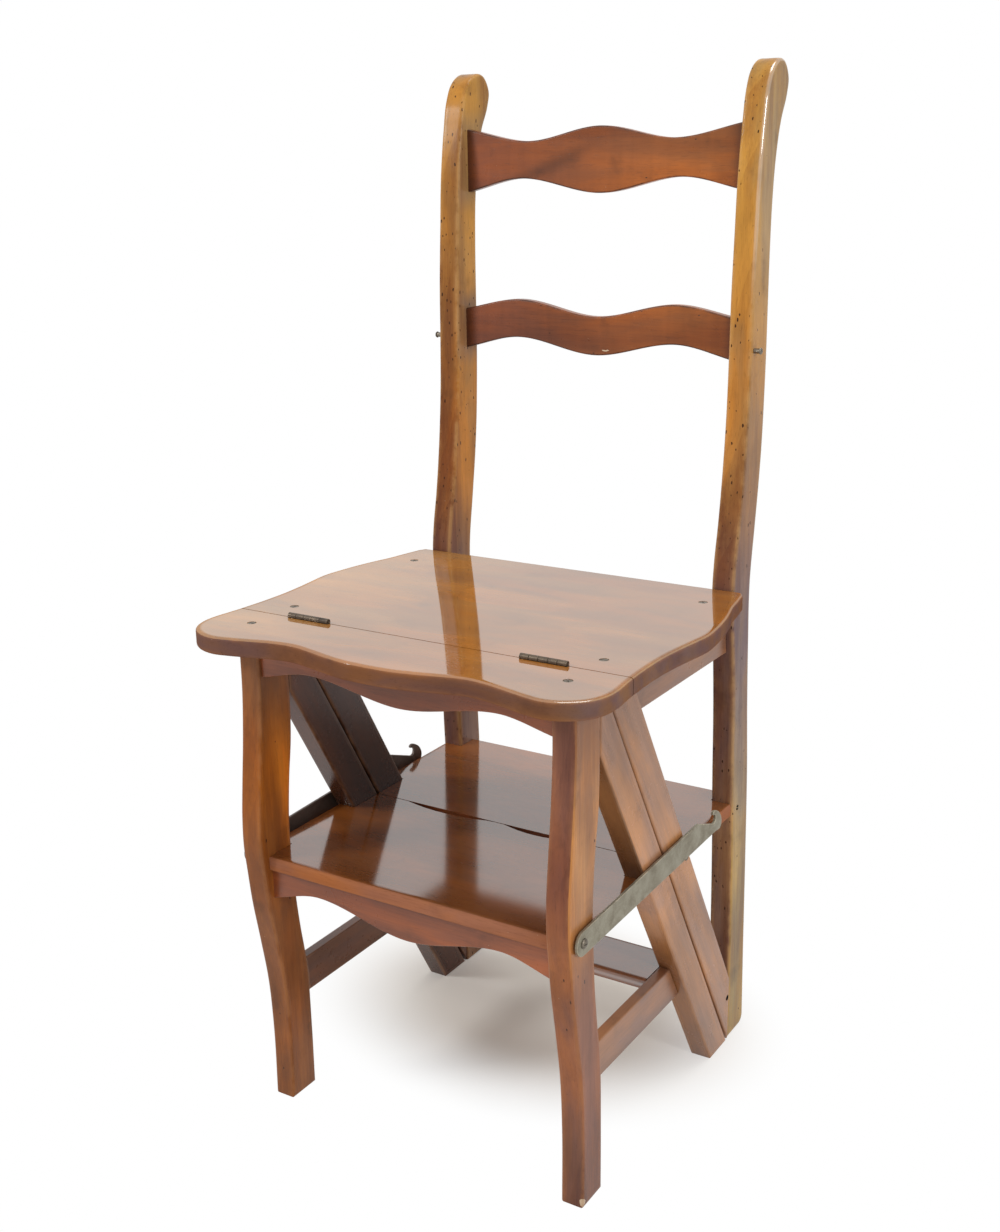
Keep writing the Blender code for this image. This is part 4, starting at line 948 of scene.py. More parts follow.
def hinge_recess(name, side, turn):
    """The seat for one leaf, and the hollow for the barrel above it."""
    x_low, x_high = sorted((side * (hinge_inner - FIT), side * (hinge_inner + HINGE_LENGTH + FIT)))
    y_low, y_high = sorted((SPLIT, SPLIT + turn * (SPLIT_GAP / 2 + LEAF_THICK + FIT)))
    hollow = [(x_low, KNUCKLE_RADIUS + FIT), (x_high, KNUCKLE_RADIUS + FIT)]
    barrel = round_mesh(name + "_barrel", hollow, "X", (SPLIT, HINGE_Z))
    low = (x_low, y_low - FIT * (turn > 0), HINGE_Z - KNUCKLE_RADIUS - LEAF_DROP)
    high = (x_high, y_high + FIT * (turn < 0), seat_top + OVERRUN)
    return [barrel, box_mesh(name + "_leaf", low, high)]


def seat_screw_places(end):
    """Where the screws of one seat board lie, from the nodes that stand for them."""
    places = []
    for name in sorted(frame["nodes"]):
        if name.startswith("seat_screw_" + end):
            low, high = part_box(name)
            places.append((name, (low.x + high.x) / 2, (low.y + high.y) / 2))
    return places


def seat_depth(share, edge):
    """How far back a share of the way from the split to a board's far edge lies."""
    return SPLIT + (edge - SPLIT) * share


strip_curve = [(seat_half * half, seat_depth(depth, strip_low.y)) for depth, half in STRIP_SHARES]
strip_curve.append((seat_half * STRIP_END_SHARE, SPLIT - SPLIT_GAP / 2))
strip_outline = both_sides(smooth_line(strip_curve)[::-1])
panel_curve = [(seat_half * STRIP_END_SHARE, SPLIT + SPLIT_GAP / 2)]
panel_curve += [(seat_half * half, seat_depth(depth, panel_high.y)) for depth, half in PANEL_SHARES]
panel_curve = smooth_line(panel_curve) + [(seat_half * PANEL_CORNER_SHARE, panel_high.y)]
panel_outline = both_sides(panel_curve)


def seat_marks(tree, place, colour):
    """The seat's top is painted paler towards its left side, and its edge at the right end: painted reflections.
    """
    spot = split_up(tree, place)
    colour = shaded(tree, spot["X"], -seat_half, 0.0, colour, SEAT_LEFT_SHEEN, (1, 1, 1))
    sheen_from, sheen_to = (share * seat_half for share in SEAT_SHEEN_SHARES)
    with_sheen = shaded(tree, spot["X"], sheen_from, sheen_to, colour, (1, 1, 1), SEAT_END_SHEEN)
    on_edge = maths(tree, "LESS_THAN", spot["Z"], strip_high.z - EDGE_SKIN)
    return mixed(tree, on_edge, colour, with_sheen)


def add_seat_board(name, node_name, body, outline, shares, ends, turn):
    """One board of the seat, with countersinks for its screws and seats for the hinge leaves."""
    low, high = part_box(node_name)
    mesh = board_mesh(name, outline, low.z, high.z, "Z", SEAT_NOSE, shares=shares)
    cutters = [screw_hole(screw + "_hole", x, y) for end in ends for screw, x, y in seat_screw_places(end)]
    for side_name, side in SIDES.items():
        cutters += hinge_recess(name + "_recess_" + side_name, side, turn)
    add_piece(name, carved(mesh, cutters), body, seat_wood, "wood_top", node_name)


seat_wood = polished_wood("seat_cherry", (0.350, 0.150, 0.032), (0.285, 0.113, 0.025), (0.40, 0.17, 0.07),
                          roughness=0.14, streaks=0.3, ripple=0.03, blotches=0.5, wear=0.3, grime=0.2,
                          coat=1.0, shine=0.0, nose=(strip_low.z, strip_high.z - SEAT_SKIN, SEAT_NOSE_TINT_AND_SHEEN),
                          extra=seat_marks)

strip_edges = [1] * (len(strip_outline) - 1) + [0]
panel_edges = [1] * (len(panel_outline) - 1) + [0]
panel_edges[len(panel_curve) - 1] = SEAT_BACK_SHARE
add_seat_board("seat_strip", "seat_front_strip", "front_half", strip_outline, strip_edges, ("front",), -1)
add_seat_board("seat_panel", "seat_rear_panel", "rear_half", panel_outline, panel_edges,
               ("middle", "rear"), 1)


# Wavy boards: the seat's apron, the tread's apron and the two slats are sawn from thin
# boards, their edges following easy waves, and are tenoned into the uprights.
BOARD_STEPS = 160
BOARD_TENON = 0.003
BOARD_ARRIS = 0.0016
BOARD_WEAR = 2.5
APRON_ARRIS = 0.0010
APRON_WAVE = 0.0125
TREAD_APRON_WAVE = 0.0155
CREST_WIDTH = 0.0555
SLAT_WIDTH = 0.037
SLAT_WAVE = 0.0115
FLAT_SHARES = (0, 0, 0.5, 0, 1)
APRON_SHARES = (0, 1.0, 0.65, 0.10, 1.12)
CREST_TOP_SHARES = (0, -1.0, 0.53, 0.15, 1.15)
CREST_LOW_SHARES = (-0.13, 1.0, 0.58, -0.20, 1.15)
SLAT_TOP_SHARES = (-0.26, 0.87, 0.58, -0.15, 1.15)
SLAT_LOW_SHARES = (-0.05, 1.08, 0.58, -0.15, 1.15)
WAVE_WORDS = ("start", "crest", "crest at", "end", "end at")


def geometry_tree(name, inputs):
    """A geometry tree with its named inputs, their outputs and its output node."""
    tree = bpy.data.node_groups.new(name, "GeometryNodeTree")
    tree.interface.new_socket("Geometry", in_out="OUTPUT", socket_type="NodeSocketGeometry")
    tree.interface.new_socket("Geometry", in_out="INPUT", socket_type="NodeSocketGeometry")
    for socket_name, kind, value in inputs:
        socket = tree.interface.new_socket(socket_name, in_out="INPUT", socket_type="NodeSocket" + kind)
        if value is not None:
            socket.default_value = value
    return tree, tree.nodes.new("NodeGroupInput").outputs, tree.nodes.new("NodeGroupOutput")


def grown(name, tree, values, points=((0, 0, 0),)):
    """The plain mesh that a tree makes of some points and its named inputs."""
    base = bpy.data.meshes.new(name + "_points")
    base.from_pydata(points, [], [])
    work = in_scene(name + "_work", base)
    maker = work.modifiers.new("maker", "NODES")
    maker.node_group = tree
    for item in tree.interface.items_tree:
        if item.in_out == "INPUT" and item.name in values:
            maker[item.identifier] = values[item.name]
    graph = bpy.context.evaluated_depsgraph_get()
    mesh = bpy.data.meshes.new_from_object(work.evaluated_get(graph))
    mesh.name = name
    bpy.data.objects.remove(work, do_unlink=True)
    return mesh


def finished(tree, made, geometry, material):
    """The end of every tree: real geometry in its material."""
    real = node(tree, "GeometryNodeRealizeInstances", {"Geometry": geometry}).outputs["Geometry"]
    clad = node(tree, "GeometryNodeSetMaterial", {"Geometry": real, "Material": material})
    tree.links.new(clad.outputs["Geometry"], made.inputs["Geometry"])
    return tree


def rounded_section(tree, width, height, count, radius):
    """A rectangle of a width and a height with rounded corners, to sweep along a path."""
    section = node(tree, "GeometryNodeCurvePrimitiveQuadrilateral", {"Width": width, "Height": height})
    return node(tree, "GeometryNodeFilletCurve", {"Curve": section.outputs["Curve"], "Count": count,
                                                  "Radius": radius}, mode="POLY").outputs["Curve"]


def wave_height(tree, given, edge, place):
    """The rise of one edge at a place from 0, the middle, to 1, the shoulder."""
    start, crest, crest_at, end, end_at = (given[edge + " " + word] for word in WAVE_WORDS)
    inner = ranged(tree, place, 0.0, crest_at, start, crest)
    outer = ranged(tree, place, crest_at, end_at, 0.0, maths(tree, "SUBTRACT", end, crest))
    return maths(tree, "MULTIPLY", maths(tree, "ADD", inner, outer), given["Wave"])


def wavy_board_tree():
    """A board along X with rounded arrises, its top and low edges raised by their waves."""
    inputs = [("Half length", "Float", 0.14), ("Tenon", "Float", 0.0), ("Width", "Float", 0.04),
              ("Thickness", "Float", 0.01), ("Arris", "Float", 0.001), ("Wave", "Float", 0.01),
              ("Steps", "Int", 40), ("Place", "Vector", (0, 0, 0)), ("Material", "Material", None)]
    inputs += [(edge + " " + word, "Float", 0.0) for edge in ("Top", "Low") for word in WAVE_WORDS]
    tree, given, made = geometry_tree("wavy_board", inputs)
    reach = maths(tree, "ADD", given["Half length"], given["Tenon"])
    start, end = vector_of(tree, X=maths(tree, "MULTIPLY", reach, -1.0)), vector_of(tree, X=reach)
    line = node(tree, "GeometryNodeCurvePrimitiveLine", {"Start": start, "End": end}).outputs["Curve"]
    line = node(tree, "GeometryNodeResampleCurve", {"Curve": line, "Count": given["Steps"]}).outputs["Curve"]
    section = rounded_section(tree, given["Thickness"], given["Width"], ARC_STEPS, given["Arris"])
    board = node(tree, "GeometryNodeCurveToMesh",
                 {"Curve": line, "Profile Curve": section, "Fill Caps": True}).outputs["Mesh"]
    spot = split_up(tree, node(tree, "GeometryNodeInputPosition").outputs[0])
    rounding = []
    for axis, size in (("Y", "Thickness"), ("Z", "Width")):
        flat = maths(tree, "SUBTRACT", maths(tree, "MULTIPLY", given[size], 0.5), given["Arris"])
        rounding.append(maths(tree, "SUBTRACT", maths(tree, "ABSOLUTE", spot[axis]), flat))
    bend = maths(tree, "DIVIDE", maths(tree, "MINIMUM", *rounding), given["Arris"])
    worn = maths(tree, "MULTIPLY", bend, BOARD_WEAR)
    worn = node(tree, "ShaderNodeClamp", {"Value": worn}).outputs["Result"]
    board = node(tree, "GeometryNodeStoreNamedAttribute", {"Geometry": board, "Name": "wear", "Value": worn},
                 data_type="FLOAT", domain="POINT")
    place = maths(tree, "DIVIDE", maths(tree, "ABSOLUTE", spot["X"]), given["Half length"])
    upper = maths(tree, "GREATER_THAN", spot["Z"], 0.0)
    top, low = wave_height(tree, given, "Top", place), wave_height(tree, given, "Low", place)
    rise = maths(tree, "ADD", maths(tree, "MULTIPLY", upper, top),
                 maths(tree, "MULTIPLY", maths(tree, "SUBTRACT", 1.0, upper), low))
    lift = vector_maths(tree, "ADD", vector_of(tree, Z=rise), given["Place"])
    board = node(tree, "GeometryNodeSetPosition", {"Geometry": board.outputs["Geometry"], "Offset": lift})
    return finished(tree, made, board.outputs["Geometry"], given["Material"])


WAVY_BOARD = wavy_board_tree()


def add_wavy(name, body, sizes, height, shares, material, solid):
    """A wavy board of a half length, width, arris and wave, as thick as its solid, at a height."""
    half, width, arris, wave = sizes
    low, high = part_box(solid)
    values = {"Half length": half, "Tenon": BOARD_TENON, "Width": width, "Thickness": high.y - low.y,
              "Arris": arris, "Wave": wave, "Steps": BOARD_STEPS, "Place": (0, (low.y + high.y) / 2, height),
              "Material": material}
    for edge, edge_shares in zip(("Top", "Low"), shares):
        values.update({edge + " " + word: float(share) for word, share in zip(WAVE_WORDS, edge_shares)})
    add_piece(name, grown(name, WAVY_BOARD, values), body, material, "wood_frame", solid)


apron_wood = polished_wood("apron_cherry", (0.37, 0.110, 0.036), (0.19, 0.052, 0.018), (0.36, 0.17, 0.09),
                           roughness=0.28, rings=0.1, streaks=0.6, blotches=0.5, wear=0.2)
for name, solid, wave in (("seat_skirt", "seat_apron", APRON_WAVE),
                          ("tread_skirt", "mid_tread_apron", TREAD_APRON_WAVE)):
    low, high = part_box(solid)
    add_wavy(name, "front_half", (leg_inside - FIT, high.z - low.z, APRON_ARRIS, wave),
             (low.z + high.z) / 2, (FLAT_SHARES, APRON_SHARES), apron_wood, solid)

# Slats of the back, redder than the posts, with a painted shade where they enter them
SLAT_SHOULDER_SHADE = (0.014, 0.7)
SLAT_LEFT_TINT = (0.84, 0.88, 1.25)
SLAT_RIGHT_TINT = (1.38, 1.56, 1.20)
STREAK_START = (-0.092, 0.790)
STREAK_RISE = 0.39
STREAK_REACH = (0.06, 0.10)
STREAK_HALF = 0.011
STREAK_SHADE = 0.42
SLAT_CHIP_PLACE = (0.0115, 0.6465)
SLAT_CHIP = 0.0016
SLAT_CHIP_SCALES = (0.42, 0.5, 2.0)

post_inside = post_low.x
slat_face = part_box("lower_slat")[0].y


def slat_marks(tree, place, colour):
    """Painted shade at the slats' shoulders, a warmer right end, and the dark streak in the crest."""
    spot = split_up(tree, place)
    colour = shaded(tree, spot["X"], -post_inside, post_inside, colour, SLAT_LEFT_TINT, SLAT_RIGHT_TINT)
    shoulder, shade = SLAT_SHOULDER_SHADE
    # Painted shade where the slats enter the posts
    end = ranged(tree, maths(tree, "ABSOLUTE", spot["X"]), post_inside - shoulder, post_inside, 0.0, shade)
    run = maths(tree, "SUBTRACT", spot["X"], STREAK_START[0])
    line = maths(tree, "MULTIPLY_ADD", run, STREAK_RISE, STREAK_START[1])
    streak = maths(tree, "MULTIPLY", close_to(tree, spot["Z"], line, 0.0, STREAK_HALF, STREAK_SHADE),
                   close_to(tree, spot["X"], STREAK_START[0], *STREAK_REACH))
    colour = mixed(tree, maths(tree, "MAXIMUM", end, streak), colour, GRIME_AND_SHADE_COLOUR)
    chip = (SLAT_CHIP_PLACE[0], slat_face, SLAT_CHIP_PLACE[1])
    return chipped(tree, place, colour, chip, SLAT_CHIP, SLAT_CHIP_SCALES)


slat_wood = polished_wood("slat_cherry", (0.285, 0.082, 0.023), (0.165, 0.042, 0.012), (0.05, 0.020, 0.012),
                          roughness=0.28, rings=0.1, streaks=0.5, ripple=0.25, blotches=0.6, holes=0.12,
                          wear=0.8, shine=0.3, extra=slat_marks)
for name, solid, width, height_share, waves in (
        ("crest_rail", "crest_slat", CREST_WIDTH, CREST_HEIGHT_SHARE, (CREST_TOP_SHARES, CREST_LOW_SHARES)),
        ("middle_rail", "lower_slat", SLAT_WIDTH, SLAT_HEIGHT_SHARE, (SLAT_TOP_SHARES, SLAT_LOW_SHARES))):
    add_wavy(name, "rear_half", (post_inside - FIT, width, BOARD_ARRIS, SLAT_WAVE),
             post_high.z * height_share, waves, slat_wood, solid)


# Rails: short planks between the legs and the front stiles near the floor, and under the rear
# seat panel. They are let in between the uprights, with only their edges broken.
RAIL_ARRIS = 0.0012
SIDEWAYS = (0, 0, -math.pi / 2)
END_STEPS = 8
RAIL_LEFT_TINT = (0.50, 0.42, 0.42)


def rail_marks(tree, place, colour):
    """The left rails are the darker ones."""
    run = split_up(tree, place)["X"]
    return shaded(tree, run, -leg_low.x, leg_low.x, colour, RAIL_LEFT_TINT, (1, 1, 1))


rail_wood = polished_wood("rail_cherry", (0.34, 0.160, 0.082), (0.18, 0.080, 0.042), (0.40, 0.22, 0.12),
                          SIDEWAYS, roughness=0.28, streaks=0.6, blotches=0.6, wear=0.3, extra=rail_marks)


def add_rail(name, node_name, body, front_line, back_line):
    """A rail seen from the side, its two ends cut to what they meet."""
    low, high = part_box(node_name)
    heights = [low.z + (high.z - low.z) * i / END_STEPS for i in range(END_STEPS + 1)]
    outline = [(front_line(z) + FIT, z) for z in reversed(heights)]
    outline += [(back_line(z) - FIT, z) for z in heights]
    mesh = board_mesh(name, outline, low.x, high.x, "X", RAIL_ARRIS, fade=RAIL_ARRIS)
    add_piece(name, mesh, body, rail_wood, "wood_frame", node_name)


for side_name in SIDES:
    add_rail("foot_rail_" + side_name, "low_rail_" + side_name, "front_half",
             lambda z: depth_at(leg_back, z), lambda z: split_y(z) - STILE_WIDTH_FRONT)
    add_rail("side_rail_" + side_name, "seat_side_rail_" + side_name, "rear_half",
             lambda z: split_y(z) + STILE_WIDTH_REAR, lambda z: depth_at(post_face, z))


low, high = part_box("seat_back_rail")
mesh = board_mesh("back_rail", rectangle(low, high, 0, 2), low.y, high.y, "Y", RAIL_ARRIS)
add_piece("back_rail", mesh, "rear_half", apron_wood, "wood_frame", "seat_back_rail")


# Middle tread: two boards that meet on the split's slope, notched round the legs, the stiles
# and the posts. Age has bowed the front board's edge, so the joint gapes in two places.
TREAD_NOSE = 0.0024
TREAD_BACK_SHARE = 0.3
TREAD_BOWS = ((-0.43, 0.32, 0.0062), (0.25, 0.24, 0.0062))
# The tread's nose is painted paler and greyer, a painted reflection, as it has no coat
TREAD_NOSE_SHEEN_TINT = (1.50, 1.75, 3.1)
BOW_STEPS = 32

front_low, front_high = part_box("mid_tread_front")
rear_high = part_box("mid_tread_rear")[1]
tread_half = front_high.x
tread_wood = polished_wood("tread_cherry", (0.31, 0.110, 0.030), (0.22, 0.074, 0.020), (0.42, 0.18, 0.09),
                           roughness=0.14, streaks=0.3, ripple=0.03, blotches=0.4, wear=0.3, grime=0.25,
                           coat=0.85, shine=0.0, blur=0.10,
                           nose=(front_low.z, front_high.z - EDGE_SKIN, TREAD_NOSE_SHEEN_TINT))


def split_edge(z, shift, bows):
    """The joint's edge at a height, from right to left, drawn back from the split in bows."""
    points = []
    for i in range(BOW_STEPS + 1):
        place = 1 - 2 * i / BOW_STEPS
        gape = sum(depth * max(0, 1 - ((place - peak) / reach) ** 2) for peak, reach, depth in bows)
        points.append((place * (leg_inside - FIT), split_y(z) + shift - gape))
    return points


def front_board(z):
    """The front half of the tread from above, at a height."""
    back = depth_at(leg_back, z) + FIT
    near = split_y(z) - STILE_WIDTH_FRONT - FIT
    inside = leg_inside - FIT
    right = [(inside, front_low.y), (inside, back), (tread_half, back), (tread_half, near), (inside, near)]
    return right + split_edge(z, -SPLIT_GAP / 2, TREAD_BOWS) + flipped(right)


def rear_board(z):
    """The rear half of the tread from above, at a height."""
    far = split_y(z) + STILE_WIDTH_REAR + FIT
    stop = depth_at(post_face, z) - FIT
    inside = post_inside - FIT
    right = [(leg_inside - FIT, far), (tread_half, far), (tread_half, stop), (inside, stop),
             (inside, rear_high.y)]
    return right + flipped(right) + split_edge(z, SPLIT_GAP / 2, ())[::-1]


front_notches, rear_notches = [0, 0, 1, 0, 0], [0, 1, 0, 0]
front_shares = front_notches + [0] * BOW_STEPS + front_notches[::-1] + [1]
rear_shares = rear_notches + [TREAD_BACK_SHARE] + rear_notches[::-1] + [0] * (BOW_STEPS + 2)
for half, board, shares in (("front", front_board, front_shares), ("rear", rear_board, rear_shares)):
    low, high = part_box("mid_tread_" + half)
    mesh = board_mesh(half + "_tread_board", board, low.z, high.z, "Z", TREAD_NOSE, shares=shares)
    add_piece(half + "_tread_board", mesh, half + "_half", tread_wood, "wood_top", "mid_tread_" + half)


# Low tread: a narrow board of the same cherry, let in between the front stiles and rounded
# along its front and back edges.
LOW_TREAD_NOSE = 0.0022

low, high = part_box("low_tread")
mesh = board_mesh("bottom_step", rectangle(low, high), low.z, high.z, "Z", LOW_TREAD_NOSE,
                  shares=[1, 0, 1, 0])
add_piece("bottom_step", mesh, "front_half", tread_wood, "wood_top", "low_tread")


# Hinges: two thin leaves let into the edges of the split, rolled into five knuckles round a
# pin. They are old brass, gone nearly black.
KNUCKLES = 5
KNUCKLE_BORE = 0.0014
KNUCKLE_EASE = 0.0003
KNUCKLE_SIDES = 28
EASE_STEPS = 3
LEAF_NOTCH = KNUCKLE_BORE * 1.3
PIN_RADIUS = 0.0011
PIN_PROUD = 0.0002


def shifted(tree, geometry, **changes):
    """Geometry shifted, turned or scaled."""
    return node(tree, "GeometryNodeTransform", {"Geometry": geometry, **changes}).outputs["Geometry"]


def turned_rings_tree():
    """Rings in a row along X, each a small wall turned round its bore."""
    tree, given, made = geometry_tree(
        "turned_rings",
        [("Count", "Int", 1), ("Pitch", "Float", 0.01), ("Length", "Float", 0.01), ("Radius", "Float", 0.002),
         ("Bore", "Float", 0.001), ("Ease", "Float", 0.0002), ("Place", "Vector", (0, 0, 0)),
         ("Material", "Material", None)])
    wall = maths(tree, "SUBTRACT", given["Radius"], given["Bore"])
    middle = maths(tree, "MULTIPLY", maths(tree, "ADD", given["Radius"], given["Bore"]), 0.5)
    path = node(tree, "GeometryNodeCurvePrimitiveCircle", {"Resolution": KNUCKLE_SIDES, "Radius": middle})
    section = rounded_section(tree, wall, given["Length"], EASE_STEPS, given["Ease"])
    ring = node(tree, "GeometryNodeCurveToMesh", {"Curve": path.outputs["Curve"], "Profile Curve": section})
    pitch = vector_of(tree, Z=given["Pitch"])
    row = node(tree, "GeometryNodeMeshLine", {"Count": given["Count"], "Offset": pitch}).outputs["Mesh"]
    row = node(tree, "GeometryNodeInstanceOnPoints", {"Points": row, "Instance": ring.outputs["Mesh"]})
    row = shifted(tree, row.outputs["Instances"], Rotation=UPWARDS, Translation=given["Place"])
    return finished(tree, made, row, given["Material"])


BRASS_CLOUDS = ((60.0, 60.0, 60.0), 4.0, 0.6, 0.4)
BRASS_SPOTS = ((900.0, 900.0, 900.0), 2.0, 0.5)
PATINA_SHARES = (0.7, 0.3)
PATINA_RANGE = (0.30, 0.70)
PATINA_DULL = 0.18
PATINA_METAL = (0.0, 1.0, 0.95, 0.6)
SPOT_HEIGHT = 0.4
BRASS_BUMP = {"Strength": 0.2, "Distance": 0.0002}


def tarnished(name, pale, deep, bright, roughness, wear=0.6, left_shade=(1, 1, 1)):
    """Old brass: dull and uneven, rubbed bright along its edges; a left shade paints shade on the left piece."""
    material, tree, shader, place, rubbed = new_material(name)
    cloud = noise(tree, place, *BRASS_CLOUDS)
    spots = noise(tree, place, *BRASS_SPOTS)
    spread = maths(tree, "ADD", maths(tree, "MULTIPLY", cloud, PATINA_SHARES[0]),
                   maths(tree, "MULTIPLY", spots, PATINA_SHARES[1]))
    patina = ranged(tree, spread, *PATINA_RANGE)
    colour = mixed(tree, patina, (*pale, 1), (*deep, 1))
    edge = grouped(tree, EDGES, Vector=place, Wear=rubbed, Amount=wear)
    colour = mixed(tree, edge["Mask"], colour, (*bright, 1))
    on_left = maths(tree, "LESS_THAN", split_up(tree, place)["X"], 0.0)
    height = maths(tree, "ADD", cloud, maths(tree, "MULTIPLY", spots, SPOT_HEIGHT))
    bump = node(tree, "ShaderNodeBump", {"Height": height, **BRASS_BUMP})
    tree.links.new(tinted(tree, on_left, colour, left_shade), shader["Base Color"])
    tree.links.new(maths(tree, "MULTIPLY_ADD", patina, PATINA_DULL, roughness), shader["Roughness"])
    tree.links.new(bump.outputs["Normal"], shader["Normal"])
    tree.links.new(ranged(tree, patina, *PATINA_METAL), shader["Metallic"])
    return material


def joined(name, meshes):
    """Several meshes as one."""
    bm = bmesh.new()
    for part in meshes:
        bm.from_mesh(part)
    mesh = bpy.data.meshes.new(name)
    bm.to_mesh(mesh)
    bm.free()
    return mesh


TURNED_RINGS = turned_rings_tree()
hinge_brass = tarnished("hinge_brass", (0.15, 0.115, 0.082), (0.055, 0.043, 0.033), (0.34, 0.27, 0.19), 0.40)
step = HINGE_LENGTH / KNUCKLES
under_knuckles = HINGE_Z - KNUCKLE_RADIUS - FIT
leaf_floor = under_knuckles - LEAF_DROP


def leaf_outline(side, first):
    """A leaf seen along Y, with a tongue into every second knuckle."""
    skyline = [(side * hinge_inner, under_knuckles)]
    for i in range(first, KNUCKLES, 2):
        near, far = side * (hinge_inner + i * step + FIT), side * (hinge_inner + (i + 1) * step - FIT)
        skyline += [(near, under_knuckles), (near, HINGE_Z - LEAF_NOTCH), (far, HINGE_Z - LEAF_NOTCH),
                    (far, under_knuckles)]
    outer = side * (hinge_inner + HINGE_LENGTH)
    return counterclockwise(skyline + [(outer, under_knuckles), (outer, leaf_floor),
                                       (side * hinge_inner, leaf_floor)])


for side_name, side in SIDES.items():
    for half, turn, first in (("front", -1, 0), ("rear", 1, 1)):
        name = "hinge_" + half + "_" + side_name
        start = side * (hinge_inner + step * (first + 0.5))
        rings = grown(name + "_knuckles", TURNED_RINGS,
                      {"Count": (KNUCKLES + 1) // 2 - first, "Pitch": 2 * step * side, "Length": step - FIT,
                       "Radius": KNUCKLE_RADIUS, "Bore": KNUCKLE_BORE, "Ease": KNUCKLE_EASE,
                       "Place": (start, SPLIT, HINGE_Z), "Material": hinge_brass})
        near, far = sorted((SPLIT + turn * SPLIT_GAP / 2, SPLIT + turn * (SPLIT_GAP / 2 + LEAF_THICK)))
        outline = leaf_outline(side, first)
        leaf = closed_mesh(name + "_leaf", [(outline, near, 0), (outline, far, 0)], "Y")
        add_piece(name, joined(name, [rings, leaf]), half + "_half", hinge_brass, "fitting_metal",
                  "hinge_leaf_" + half + "_" + side_name)
    low, high = sorted((side * (hinge_inner - PIN_PROUD), side * (hinge_inner + HINGE_LENGTH + PIN_PROUD)))
    profile = [(low, PIN_RADIUS / 2), (low + PIN_PROUD, PIN_RADIUS), (high - PIN_PROUD, PIN_RADIUS),
               (high, PIN_RADIUS / 2)]
    pin = round_mesh("pin_" + side_name, profile, "X", (SPLIT, HINGE_Z))
    add_piece("pin_" + side_name, pin, "front_half", hinge_brass, "fitting_metal", "hinge_pin_" + side_name)


# Screws and nails: slotted heads sunk level with the seat, a screw through each post into the
# tread, a nail at each foot, and domed screws for the bars' pivots, rests and studs.
SCREW_SIDES = 28
SCREW_SHANK = 0.0014
SLOT_WIDTH = 0.0008
SLOT_DEPTH = 0.0007
SEAT_SCREW_LENGTH = 0.028
PIVOT_RISE = 0.0020
STUD_RISE = 0.0018
REST_RISE = 0.0014


def combined(tree, operation, *meshes):
    """The solid that some meshes make together, or share."""
    made = node(tree, "GeometryNodeMeshBoolean", operation=operation, solver="EXACT")
    for mesh in meshes:
        tree.links.new(mesh, made.inputs["Mesh 2"])
    return made.outputs["Mesh"]


def along_z(tree, value, factor):
    """A vector along Z, a value times a plain number long."""
    return vector_of(tree, Z=maths(tree, "MULTIPLY", value, factor))


